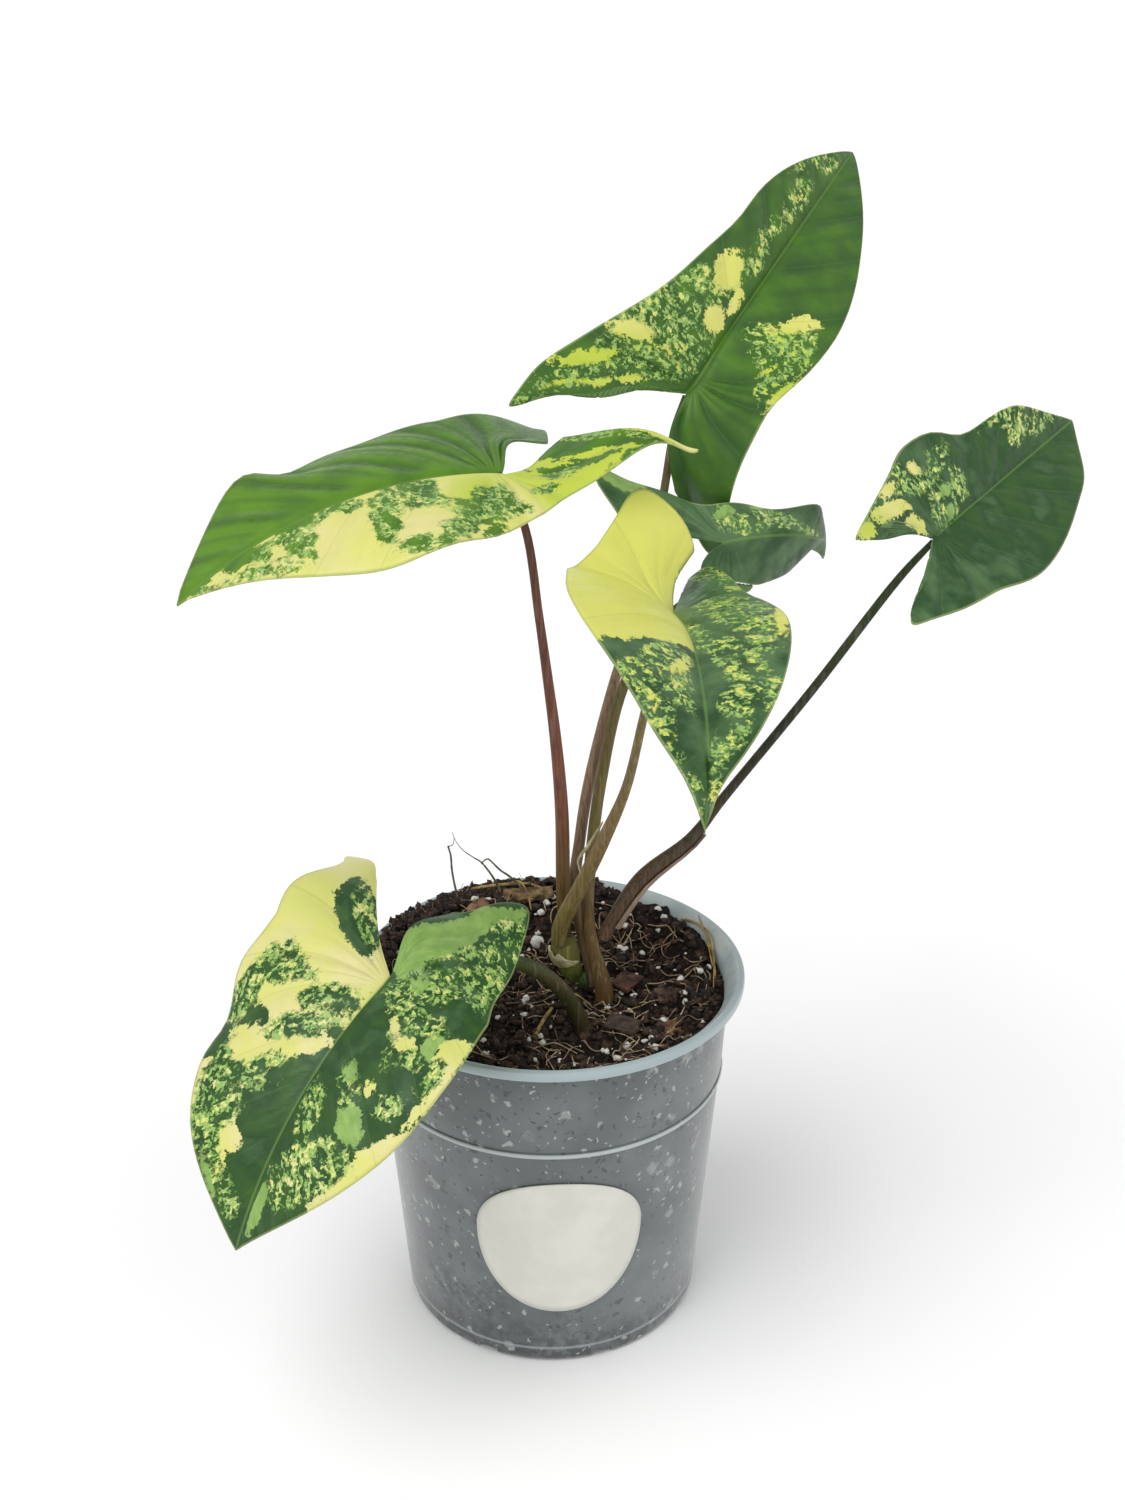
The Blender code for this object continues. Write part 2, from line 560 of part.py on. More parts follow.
def make_bark_chip(name, spot, size, turn, soil):
    """A split chip of bark: a low slab with uneven corners that lies on the soil."""
    rng = random.Random(name)
    width, depth, height = size
    bm = bmesh.new()
    bmesh.ops.create_cube(bm, size=1.0, matrix=Matrix.Diagonal((width, depth, height, 1)))
    bmesh.ops.subdivide_edges(bm, edges=bm.edges, cuts=2, use_grid_fill=True)
    for vert in bm.verts:
        vert.co += Vector((rng.uniform(-0.09, 0.09) * width, rng.uniform(-0.09, 0.09) * depth,
                           rng.uniform(-0.12, 0.12) * height))
    bmesh.ops.triangulate(bm, faces=bm.faces)
    matrix = Matrix.Translation((*spot, 0)) @ Matrix.Rotation(math.radians(turn), 4, "Z")
    drops = []
    for point in [vert.co for vert in bm.verts] + [face.calc_center_median() for face in bm.faces]:
        high = (matrix @ point + Vector((0, 0, 150))) * MM
        hit, landing, _, _ = soil.ray_cast(high, (0, 0, -1))
        drops.append((high - landing).z / MM if hit else 150)
    bmesh.ops.recalc_face_normals(bm, faces=bm.faces)
    obj = add_object(name, bm, "bark", "soil")
    obj.location = Vector((*spot, 150 - min(drops) + GAP)) * MM
    obj.rotation_euler.z = math.radians(turn)


def main():
    clear_scene()
    make_pot()
    make_label()
    soil = make_soil()
    place("plant", None, "soil")
    tube("cane", CANE, "cane")
    for name, leaf in LEAVES.items():
        make_leaf(name, leaf)
        tube(f"stalk_{name}", STALKS[name], "stalk")
    make_sheath()
    make_cuff()
    make_bud()
    tube("dry_curl", DRY_CURL, "paper")
    for name, (spot, size, turn) in BARK_CHIPS.items():
        make_bark_chip(name, spot, size, turn, soil)
    for name, points in DRY_TWIGS.items():
        tube(name, points, "twig")


main()
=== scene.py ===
"""Looks for a variegated arrowhead plant in a translucent nursery pot.

Tables of leaves and stems are in millimetres and degrees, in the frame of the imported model: +Z is
up, the origin is the centre of the pot's base, and the label faces -Y.
"""

import math
import random

import bmesh
import bpy
import numpy as np
from mathutils import Matrix, Vector, noise


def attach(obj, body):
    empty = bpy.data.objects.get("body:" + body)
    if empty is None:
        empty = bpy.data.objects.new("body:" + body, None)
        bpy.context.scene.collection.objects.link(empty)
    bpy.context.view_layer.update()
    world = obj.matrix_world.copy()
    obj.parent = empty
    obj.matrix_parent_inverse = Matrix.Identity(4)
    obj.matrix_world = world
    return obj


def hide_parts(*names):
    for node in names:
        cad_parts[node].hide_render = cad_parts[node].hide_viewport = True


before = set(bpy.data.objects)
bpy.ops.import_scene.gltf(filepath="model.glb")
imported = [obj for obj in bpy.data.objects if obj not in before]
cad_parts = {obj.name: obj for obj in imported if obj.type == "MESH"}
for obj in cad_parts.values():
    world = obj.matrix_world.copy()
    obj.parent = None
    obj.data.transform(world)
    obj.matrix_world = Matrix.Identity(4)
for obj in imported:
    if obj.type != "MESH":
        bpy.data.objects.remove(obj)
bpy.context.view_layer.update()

bl_info = {
    "name": "Potted arrowhead plant",
    "version": (1, 0, 0),
    "blender": (4, 5, 0),
    "location": "View3D > Sidebar > Plant",
    "description": "Models the leaves, stems, soil and pot of a variegated arrowhead plant",
    "category": "Add Mesh",
}

MM = 0.001

# Pot
POT_HEIGHT = 114.6
POT_WALL = 1.2
BASE_RADIUS = 47.3
BASE_FILLET = 2.2
SHOULDER_HEIGHT = 82.0
SHOULDER_RADIUS = 53.4
RING_PROUD = 0.7
COLLAR_TOP = 110.6
COLLAR_RADIUS = 55.3
LIP_RADIUS = 60.0
LIP_DEPTH = 3.2
FIRST_SLOT_ANGLE = -70.0
DRAIN_SLOTS = 8
DRAIN_SLOT_SIZE = (8.0, 7.0, 5.6)
DRAIN_HOLES = 6
DRAIN_HOLE_RADIUS = 3.5
DRAIN_HOLE_CIRCLE = 27.0

# Label
LABEL_CENTRE_ANGLE = 3.2
LABEL_MIDDLE = 53.0
LABEL_HALF_WIDTH = 25.6
LABEL_UP = 18.8
LABEL_DOWN = 31.2
LABEL_SQUARENESS = 2.1
LABEL_GAP = 0.3

# Soil
SOIL_LEVEL = 101.0
SOIL_HEAP = 12.5
SOIL_EDGE = 52.9
SOIL_FOOT = 80.0

CURL_OVER = 40.0
DROOP_OVER = 22.0
VEINS = 9
PULL_REACH = 13.0
FIT_STEPS = 14

# The photograph's camera: its place in millimetres and its tilt downwards in degrees, then its
# focal length and the middle of the picture in pixels.
CAMERA_PLACE = (3.6, -460.0, 382.8)
CAMERA_TILT = 23.05
FOCAL_PIXELS = 1700.0
PICTURE_MIDDLE = (562.5, 750.0)


def half(width, belly, waist, lobe, splay, plump, inner, lift, curl, droop,
         ripple=0.0, waves=1.6, phase=0.0, pointed=False):
    """One half of a leaf blade: its flat outline, then how it is folded, curled and waved."""
    return {"width": width, "belly": belly, "waist": waist, "lobe": lobe, "splay": splay,
            "plump": plump, "inner": inner, "lift": lift, "curl": curl, "droop": droop,
            "ripple": ripple, "waves": waves, "phase": phase, "pointed": pointed}


# Each leaf: where its stalk meets it, where its midrib points, and its two halves.
LEAVES = {
    "left": {
        "seat": (-13, 0, 270), "heading": 213, "pitch": 10, "roll": -12,
        "length": 100, "bow": 47, "sweep": 3, "skew": -24,
        "left": half(40, 0.42, 0.64, 65, 36, 0.17, 0.24, 7, 18, -31, -3.6, 1.8, 20, True),
        "right": half(42, 0.20, 0.91, 62, 37, 0.18, 0.14, 4, 18, 5, -4.3, 1.1, -34),
    },
    "top": {
        "seat": (40.4, 44, 283.2), "heading": 46, "pitch": 40, "roll": 44,
        "length": 129, "bow": 29, "sweep": 0, "skew": 3,
        "left": half(24, 0.18, 1.41, 56, 44, 0.19, -0.04, 27, 14, 0),
        "right": half(28, 0.37, 0.89, 55, 41, 0.14, 0.12, 10, 15, 70),
    },
    "right": {
        "seat": (111, 16, 247), "heading": 50, "pitch": 13, "roll": 39,
        "length": 93, "bow": 3, "sweep": 0, "skew": -3,
        "left": half(25, 0.11, 0.90, 38, 24, 0.23, -0.14, 26, 22, -5, 1.0, 1.6, 9),
        "right": half(29, 0.23, 0.83, 39, 20, 0.24, -0.02, 13, 16, -1),
    },
    "front": {
        "seat": (32.6, -35, 241), "heading": 276, "pitch": 13, "roll": -11,
        "length": 102.5, "bow": 43, "sweep": -1, "skew": 13,
        "left": half(24.7, 0.29, 0.87, 54, 5, 0.16, 0.14, 26, 21, -14),
        "right": half(33.5, 0.33, 0.92, 55, 21, 0.20, 0.26, 26, 26, -41),
    },
    "back": {
        "seat": (50.3, 21, 244.1), "heading": 10, "pitch": 10, "roll": 35,
        "length": 66, "bow": 94, "sweep": 18, "skew": 11,
        "left": half(15, 0.24, 0.89, 42, 47, 0.18, 0.33, 3, 18, -2, 5.3, 1.8, 31),
        "right": half(18, 0.33, 0.84, 39, 48, 0.18, 0.14, -69, 20, 71),
    },
    "low": {
        "seat": (-45, -45, 137), "heading": 230, "pitch": -21, "roll": 0,
        "length": 87, "bow": 49, "sweep": -3, "skew": -28,
        "left": half(41, 0.22, 0.86, 59, 38, 0.25, 0.18, 6, 17, 20, 3.2, 1.3, -5),
        "right": half(44, 0.19, 1.03, 58, 42, 0.19, 0.07, 16, 21, 24, -3.9, 1.1, -45),
    },
}

# Stems: (x, y, z, radius) from the foot up to the tip close under the leaf.
CANE = [(7.6, 12.2, 86, 3.2), (7.6, 12.2, 98, 3.2), (7.4, 12, 103.5, 3.2),
        (6.0, 10.6, 108, 3.6), (4.7, 9.4, 114, 4.2), (4.0, 9.0, 118, 4.0)]
STALKS = {
    "left": [(4.4, 11.6, 119, 2.0), (3.8, 11, 135, 2.2), (3.4, 9, 162, 2.1), (1.7, 7, 186, 1.8),
             (-0.9, 5, 209, 1.5), (-3.1, 3, 227, 1.3), (-6.9, 1.5, 254, 1.2), (-13, 0, 268.5, 0.9)],
    "top": [(13.7, 10, 86, 2.2), (13.7, 10, 97, 2.2), (13.4, 10.3, 104, 2.2),
            (10.6, 13, 115, 2.0), (7.4, 14.4, 133, 1.9), (9, 16, 150, 1.8), (11.5, 18, 167, 1.8),
            (19, 21.5, 199.3, 1.6), (29.4, 35.5, 228, 1.4), (34.2, 43.5, 253, 1.3),
            (37.1, 44.5, 272.4, 1.2), (40.1, 45.4, 282, 0.9)],
    "front": [(2.2, 6.4, 118.6, 2.2), (3.0, 5.6, 125, 2.6), (8.7, 2, 140, 2.4), (16, -4, 160, 2.1),
              (22, -10, 179, 1.5), (26.1, -20, 205, 1.25), (29.3, -28, 226, 1.1),
              (32.3, -35.5, 239.5, 0.9)],
    "back": [(16.8, 2.6, 86, 2.9), (16.8, 2.6, 97, 2.9), (16.6, 2.8, 103.5, 2.9),
             (12.8, 6, 119, 2.1), (11.4, 8.4, 130, 2.0), (13, 12, 152, 1.9), (15.1, 14, 169, 1.8),
             (22.1, 17, 201, 1.6), (33, 24, 218, 1.4), (45, 28, 228, 1.2),
             (49.8, 27.5, 237, 1.0), (50.2, 23.2, 242.8, 0.8)],
    "right": [(16.2, 9.2, 119, 2.2), (28, 11, 138.6, 2.5), (43, 12, 152, 1.9), (52.4, 13, 165, 1.5),
              (78.2, 14.5, 200.4, 1.35), (102, 16, 235, 1.2), (111, 16.8, 245.6, 0.9)],
    "low": [(10.5, -17, 86, 2.6), (10.5, -17, 96, 2.6), (10.2, -17.1, 101, 2.6),
            (6.6, -18, 111, 2.5), (0.8, -21, 121, 2.4), (-6.8, -25, 128.7, 2.3),
            (-17, -31, 134.5, 1.9), (-32, -40, 136.8, 1.4), (-45, -45, 135.4, 0.9)],
}

# How far the soil rises at the wall above its bank, by the angle round the pot in degrees.
RIM_RISE = ((0, 7), (35, 10.5), (75, 11.5), (110, 6), (150, 8), (185, 11), (215, 8), (250, 3), (290, 2),
            (330, 4),
            (360, 7))
RIM_CREST = 113.6

# Yellow roots and straws on the soil: (x, y, height over the soil, radius).
YELLOW_ROOTS = [
    [(48.5, 39, 1.2, 0.35), (50.5, 30, 1.5, 0.4), (51.5, 19, 1.3, 0.35), (51.5, 8, 1.2, 0.3),
     (50.6, -2, 0.8, 0.2)],
    [(47.5, 36, 0.8, 0.25), (50.8, 24, 2.2, 0.25), (51.6, 12, 2.0, 0.3), (51.5, 1, 1.0, 0.2)],
    [(49.8, 33, 2.4, 0.2), (50.9, 22, 0.9, 0.25), (50.8, 6, 2.4, 0.2)],
    [(-27, 48, 2.2, 0.5), (-18, 51, 3.0, 0.6), (-7.4, 51, 2.8, 0.5), (-1.3, 47.4, 1.4, 0.35)],
    [(-14, 51.5, 3.2, 0.3), (-11, 50, 3.5, 0.35), (-8.3, 46.7, 1.6, 0.3), (-6.8, 37.5, 0.6, 0.25)],
    [(-22, 50, 1.5, 0.35), (-12, 52, 2.4, 0.3), (-2, 50, 1.4, 0.3)],
    [(2.8, 3.1, 0.6, 0.25), (7.5, 1.1, 1.6, 0.3), (11.3, 0.3, 0.8, 0.25), (15, -6, 0.8, 0.2),
     (19, -9, 0.6, 0.2),
     (27.8, -4, 0.6, 0.15)],
    [(-4.7, -20.7, 0.4, 0.7), (-1.8, -12.3, 1.6, 0.6), (0.3, -5.3, 1.0, 0.5)],
]

# Dry wiry twigs at the back left and the thin dry curl on the front stalk: (x, y, z, radius).
DRY_TWIGS = {
    "tall": [[(-30.6, 45, 109, 0.45), (-31.7, 45, 115.1, 0.42), (-32.5, 45, 119.3, 0.38),
              (-33.2, 45, 124.5, 0.35),
              (-33.5, 45, 130.1, 0.33), (-34.3, 45, 133.4, 0.3)],
             [(-34.3, 45, 133.2, 0.22), (-32.8, 45, 133.8, 0.15), (-32.2, 45, 136, 0.12),
              (-32.7, 45, 138.5, 0.1)]],
    "leaning": [[(-15.6, 47, 109, 0.45), (-17.4, 47, 115.6, 0.42), (-19.3, 47, 120.1, 0.4),
                 (-21.6, 47, 123.9, 0.36),
                 (-23.6, 47, 126.5, 0.3), (-26.2, 47, 128.3, 0.22), (-29.5, 47, 130.9, 0.16),
                 (-31.4, 47, 133.5, 0.12),
                 (-32.2, 47, 135.4, 0.1)]],
    "arched": [[(-6.8, 46, 109, 0.45), (-9.3, 46, 115.4, 0.42), (-11.3, 46, 118.8, 0.42),
                (-14.3, 46, 121.8, 0.4),
                (-17.2, 46, 124, 0.36), (-19.2, 46, 126.2, 0.32), (-21.2, 46, 128.1, 0.28),
                (-22.5, 46, 127.5, 0.24),
                (-23.5, 46, 126.2, 0.2)]],
}
PAPER_CURL = [(15.7, -0.6, 164.1, 0.25), (13.9, -1, 160.8, 0.5), (11.3, -1, 156.1, 0.6),
              (9.2, -1, 153.1, 0.5),
              (8.3, -1, 151.1, 0.4), (8.6, -1, 148.7, 0.25), (9, -1, 147, 0.12)]

# Where each leaf's outline is moved on the photograph, read off it in pixels: the half,
# a place on the outline as its own formula draws it, and where the photograph shows it.
OUTLINE_FITS = {
    "left": [
        ("right", 242, 482, 243, 476), ("right", 277, 465, 279, 478), ("right", 308, 456, 308, 465),
        ("right", 525, 458, 510, 445), ("left", 564, 502, 562, 500), ("left", 593, 488, 592, 483),
        ("left", 621, 477, 620, 463), ("left", 641, 469, 644, 448), ("left", 659, 460, 667, 442),
        ("left", 690, 439, 698, 451), ("left", 660, 442, 667, 438), ("left", 627, 430, 624, 428),
        ("left", 593, 421, 563, 438), ("left", 550, 445, 529, 459),
    ],
    "top": [
        ("left", 731, 218, 737, 219), ("left", 575, 346, 571, 343), ("left", 556, 364, 546, 359),
        ("left", 527, 387, 522, 384), ("left", 512, 404, 509, 406), ("left", 545, 401, 545, 394),
        ("left", 594, 390, 597, 388), ("left", 640, 392, 640, 386), ("right", 770, 417, 767, 412),
        ("right", 746, 454, 746, 455), ("right", 680, 440, 669, 435), ("right", 677, 473, 673, 473),
    ],
    "right": [
        ("left", 1006, 408, 1009, 406), ("left", 976, 417, 976, 427), ("left", 954, 424, 955, 435),
        ("left", 931, 435, 930, 433), ("left", 910, 448, 905, 445), ("left", 898, 461, 895, 458),
        ("left", 856, 541, 857, 539), ("left", 887, 522, 889, 519), ("left", 910, 530, 910, 524),
        ("right", 1081, 478, 1084, 478), ("right", 1080, 492, 1082, 490), ("right", 1047, 568, 1046, 569),
        ("right", 994, 595, 995, 592), ("right", 971, 607, 972, 605), ("right", 928, 625, 925, 622),
        ("right", 913, 627, 913, 624), ("right", 915, 610, 912, 610),
    ],
    "front": [
        ("right", 647, 486, 645, 490), ("right", 631, 497, 628, 496), ("right", 572, 562, 573, 568),
        ("right", 564, 568, 566, 576), ("right", 569, 588, 568, 593), ("right", 591, 623, 587, 625),
        ("right", 623, 672, 622, 676), ("right", 666, 741, 662, 743), ("right", 710, 824, 705, 830),
        ("right", 673, 512, 679, 515), ("right", 682, 585, 675, 580), ("left", 706, 564, 707, 567),
        ("left", 727, 573, 728, 576), ("left", 742, 586, 740, 588), ("left", 772, 603, 773, 606),
        ("left", 748, 757, 740, 760), ("left", 759, 738, 755, 738), ("left", 731, 788, 721, 788),
        ("left", 710, 824, 705, 830),
    ],
    "back": [
        ("left", 642, 482, 639, 484), ("left", 668, 496, 670, 494), ("left", 695, 509, 696, 504),
        ("left", 726, 503, 726, 503), ("left", 756, 497, 755, 507), ("left", 790, 502, 791, 508),
        ("left", 814, 515, 819, 505), ("left", 822, 535, 822, 528), ("left", 821, 555, 824, 559),
        ("right", 821, 555, 824, 559), ("right", 811, 559, 808, 549), ("right", 795, 567, 794, 566),
    ],
    "low": [
        ("right", 349, 852, 347, 857), ("right", 362, 862, 371, 861), ("right", 376, 887, 377, 883),
        ("right", 264, 925, 266, 927), ("right", 239, 987, 234, 985), ("right", 232, 1003, 232, 1008),
        ("right", 217, 1032, 217, 1037), ("right", 384, 933, 381, 937), ("left", 422, 944, 411, 933),
        ("left", 437, 929, 431, 921), ("left", 453, 913, 453, 913), ("left", 496, 908, 495, 904),
        ("left", 489, 1008, 493, 1008), ("left", 403, 961, 399, 957),
    ],
}

# Variegation, chosen on the photograph and laid on in order: the kind, the half, the
# patch's middle in pixels, its half length and half width in pixels, and its turn clockwise.
# A flat kind gives its place and size in millimetres along and out from the midrib instead.
PAINT = {
    "left": [
        ("flat cream", "left", 30, 20, 90, 60, 0), ("dark", "left", 408, 483, 12, 8, 0),
        ("dark", "left", 384, 527, 9, 15, 0), ("dark", "left", 474, 512, 22, 9, 25),
        ("dark", "left", 493, 533, 12, 6, -10), ("dark", "left", 296, 528, 24, 7, -28),
        ("dark", "left", 240, 560, 24, 9, -28), ("dark", "left", 192, 586, 14, 6, -28),
        ("mottle", "left", 336, 509, 26, 8, -25), ("mottle", "left", 290, 547, 40, 13, -22),
        ("mottle", "left", 258, 573, 34, 6, -12), ("mottle", "left", 386, 508, 17, 28, 0),
        ("mottle", "left", 429, 494, 28, 15, 0), ("mottle", "left", 430, 541, 34, 8, -8),
        ("mottle", "left", 461, 525, 19, 16, 0), ("mottle", "left", 494, 503, 24, 18, 20),
        ("mottle", "left", 517, 509, 14, 7, 0), ("mottle", "left", 200, 589, 14, 4, -15),
        ("mottle", "left", 305, 550, 10, 12, 0), ("cream", "left", 429, 518, 26, 10, -5),
        ("cream", "left", 368, 490, 14, 8, -10), ("cream", "left", 345, 530, 29, 22, 0),
        ("cream", "left", 456, 487, 19, 10, 0), ("cream", "left", 279, 550, 9, 6, -40),
        ("lime", "left", 480, 495, 30, 25, 0), ("lime", "left", 600, 470, 110, 60, 0),
        ("dark", "left", 585, 447, 70, 11, -14), ("dark", "left", 640, 436, 34, 6, 8),
        ("dark", "left", 575, 466, 48, 4, -14), ("mottle", "left", 560, 476, 22, 5, -10),
        ("mottle", "left", 594, 436, 60, 4, -6), ("mottle", "left", 545, 490, 14, 5, -10),
        ("cream", "left", 600, 452, 55, 3, -13), ("mottle", "left", 640, 452, 30, 4, -25),
    ],
    "top": [
        ("mottle", "left", 698, 281, 22, 14, -30), ("mottle", "left", 660, 302, 42, 15, -22),
        ("mottle", "left", 677, 322, 28, 26, 0), ("mottle", "left", 672, 350, 30, 32, 0),
        ("mottle", "left", 750, 262, 13, 20, 30), ("mottle", "left", 719, 296, 16, 12, 0),
        ("mottle", "left", 703, 340, 11, 20, 10), ("mottle", "left", 640, 355, 42, 18, 25),
        ("mottle", "left", 568, 377, 54, 10, -8), ("mottle", "left", 529, 393, 24, 8, -20),
        ("mottle", "left", 794, 203, 9, 26, 28), ("mottle", "left", 779, 224, 7, 8, 0),
        ("mottle", "left", 763, 237, 8, 9, 0), ("mottle", "left", 802, 187, 9, 10, 0),
        ("mottle", "left", 825, 160, 13, 12, 20), ("mottle", "left", 797, 167, 10, 6, -30),
        ("cream", "left", 728, 272, 15, 22, 28), ("cream", "left", 712, 320, 11, 15, 10),
        ("cream", "left", 632, 330, 25, 11, 10), ("cream", "left", 735, 300, 6, 14, 20),
        ("cream", "left", 590, 359, 40, 8, -10), ("cream", "left", 597, 381, 22, 4, 0),
        ("cream", "left", 628, 379, 16, 5, 0), ("cream", "left", 800, 196, 4, 10, 30),
        ("cream", "left", 655, 345, 20, 3, 25), ("cream", "left", 555, 383, 20, 3, -10),
        ("lime", "left", 610, 362, 70, 28, 0), ("lime", "left", 560, 385, 50, 25, 0),
        ("mottle", "right", 782, 347, 36, 28, -25), ("mottle", "right", 780, 385, 28, 20, -35),
        ("mottle", "right", 762, 334, 16, 12, 0), ("cream", "right", 798, 327, 24, 9, -8),
        ("cream", "right", 786, 396, 22, 8, -35), ("cream", "right", 768, 372, 10, 5, -20),
        ("lime", "right", 780, 370, 44, 36, 0),
    ],
    "right": [
        ("mottle", "left", 1010, 414, 16, 14, 0), ("mottle", "left", 1016, 432, 9, 13, 0),
        ("mottle", "left", 990, 419, 14, 5, -10), ("mottle", "left", 1035, 425, 8, 10, 0),
        ("mottle", "left", 1050, 415, 12, 7, -10), ("cream", "left", 1028, 407, 11, 3, 8),
        ("mottle", "left", 972, 431, 8, 4, -10), ("mottle", "left", 944, 508, 14, 28, -8),
        ("mottle", "left", 936, 456, 10, 14, 20), ("mottle", "left", 958, 484, 8, 18, -15),
        ("mottle", "left", 930, 476, 9, 14, -20), ("mottle", "left", 906, 480, 20, 15, 30),
        ("mottle", "left", 888, 480, 16, 14, -25), ("cream", "left", 888, 490, 13, 7, -50),
        ("cream", "left", 913, 470, 9, 5, 40), ("mottle", "left", 868, 512, 10, 18, 35),
        ("cream", "left", 866, 530, 11, 9, -30), ("cream", "left", 888, 512, 20, 9, -18),
        ("cream", "left", 916, 524, 12, 6, 45), ("lime", "left", 868, 528, 20, 16, 0),
        ("light", "left", 945, 492, 6, 9, 0), ("light", "left", 950, 512, 5, 9, 0),
    ],
    "front": [
        ("flat cream", "right", -37, 66, 100, 200, -32), ("mottle", "right", 665, 663, 30, 24, 0),
        ("mottle", "right", 650, 700, 38, 18, 52), ("mottle", "right", 637, 664, 20, 12, 0),
        ("mottle", "right", 668, 748, 26, 6, 58), ("mottle", "right", 690, 785, 22, 5, 62),
        ("mottle", "right", 676, 705, 18, 26, 0), ("dark", "right", 622, 650, 18, 8, 5),
        ("dark", "right", 655, 672, 10, 6, 0), ("dark", "right", 684, 738, 13, 30, -8),
        ("cream", "right", 680, 668, 14, 9, -25), ("cream", "right", 652, 708, 9, 6, 0),
        ("mottle", "left", 733, 607, 44, 15, 12), ("mottle", "left", 766, 635, 22, 20, 10),
        ("mottle", "left", 710, 644, 34, 9, 44), ("mottle", "left", 738, 676, 42, 9, 48),
        ("mottle", "left", 772, 690, 12, 16, 0), ("mottle", "left", 735, 706, 20, 14, 0),
        ("mottle", "left", 706, 573, 20, 9, 0), ("mottle", "left", 727, 582, 16, 8, 30),
        ("mottle", "left", 712, 772, 14, 36, 10), ("mottle", "left", 738, 742, 9, 26, 35),
        ("mottle", "left", 745, 655, 36, 6, 40), ("cream", "left", 782, 617, 9, 15, 0),
        ("cream", "left", 711, 795, 5, 16, 10),
    ],
    "back": [
        ("light", "left", 726, 514, 10, 9, 10), ("mottle", "left", 742, 524, 24, 9, 5),
        ("mottle", "left", 770, 518, 26, 9, 15), ("mottle", "left", 754, 511, 10, 7, 0),
        ("mottle", "left", 800, 526, 24, 5, 25), ("light", "left", 755, 509, 5, 4, 0),
        ("light", "left", 625, 480, 24, 10, 20),
    ],
    "low": [
        ("flat cream", "right", 20, 20, 100, 70, 0), ("dark", "right", 357, 912, 20, 42, -12),
        ("mottle", "right", 365, 914, 11, 36, -12), ("mottle", "right", 283, 960, 26, 20, -30),
        ("mottle", "right", 300, 970, 18, 9, 0), ("dark", "right", 288, 955, 7, 6, 0),
        ("mottle", "right", 258, 975, 15, 12, -30), ("mottle", "right", 243, 996, 14, 24, 10),
        ("dark", "right", 257, 1018, 17, 10, -20), ("mottle", "right", 228, 1020, 12, 12, 0),
        ("mottle", "right", 327, 1000, 34, 15, 0), ("dark", "right", 333, 1007, 12, 5, 0),
        ("mottle", "right", 300, 1025, 44, 12, -8), ("dark", "right", 220, 1042, 24, 8, -50),
        ("mottle", "right", 222, 1080, 26, 44, 10), ("mottle", "right", 262, 1070, 34, 14, -20),
        ("flat dark", "right", 58, 2, 38, 7, 0), ("dark", "right", 271, 1104, 60, 24, -52),
        ("mottle", "right", 208, 1125, 18, 50, 6), ("dark", "right", 240, 1160, 16, 34, 15),
        ("flat dark", "right", 80, 5, 13, 8, 0), ("mottle", "right", 224, 1190, 11, 30, -20),
        ("cream", "right", 249, 1044, 18, 15, -20), ("cream", "right", 305, 1046, 30, 8, -15),
        ("light", "right", 249, 1087, 19, 5, -15), ("cream", "right", 228, 1140, 13, 13, 0),
        ("light", "right", 207, 1175, 6, 26, -16), ("cream", "right", 206, 1063, 12, 5, -20),
        ("light", "left", 454, 931, 68, 24, -25), ("light", "left", 500, 918, 40, 16, -15),
        ("light", "left", 412, 955, 20, 32, 10), ("light", "left", 430, 978, 44, 17, -10),
        ("mottle", "left", 484, 955, 56, 14, -27), ("mottle", "left", 505, 945, 24, 24, -40),
        ("dark", "left", 440, 965, 30, 5, -8), ("dark", "left", 452, 912, 58, 8, -15),
        ("dark", "left", 508, 902, 30, 6, 4), ("dark", "left", 529, 918, 5, 14, 0),
        ("mottle", "left", 457, 998, 38, 28, -20), ("mottle", "left", 490, 985, 14, 34, 25),
        ("dark", "left", 455, 1020, 28, 18, -30), ("mottle", "left", 420, 1024, 28, 13, 10),
        ("mottle", "left", 399, 995, 15, 17, 0), ("cream", "left", 394, 1025, 8, 14, 0),
        ("mottle", "left", 388, 1048, 9, 22, 0), ("light", "left", 432, 1052, 16, 14, 0),
        ("cream", "left", 408, 1044, 14, 9, 0), ("cream", "left", 455, 1055, 22, 14, -48),
        ("mottle", "left", 412, 1063, 15, 13, 0), ("cream", "left", 443, 1078, 20, 9, -55),
        ("mottle", "left", 430, 1084, 12, 22, 20), ("dark", "left", 370, 1038, 19, 42, 10),
        ("dark", "left", 396, 1088, 26, 24, -25), ("mottle", "left", 350, 1084, 14, 22, 0),
        ("light", "left", 352, 1074, 8, 12, 0), ("cream", "left", 370, 1088, 6, 9, 0),
        ("dark", "left", 325, 1112, 14, 40, 12), ("mottle", "left", 311, 1112, 11, 34, 18),
        ("light", "left", 350, 1128, 13, 24, 5), ("dark", "left", 388, 1134, 22, 16, -20),
        ("mottle", "left", 388, 1108, 18, 12, -30), ("cream", "left", 365, 1172, 66, 18, -38),
        ("mottle", "left", 312, 1166, 42, 28, -25), ("mottle", "left", 280, 1190, 26, 24, -40),
        ("cream", "left", 430, 1100, 34, 7, -48), ("light", "left", 254, 1210, 12, 30, 25),
        ("dark", "left", 280, 1223, 26, 7, -32),
    ],
}

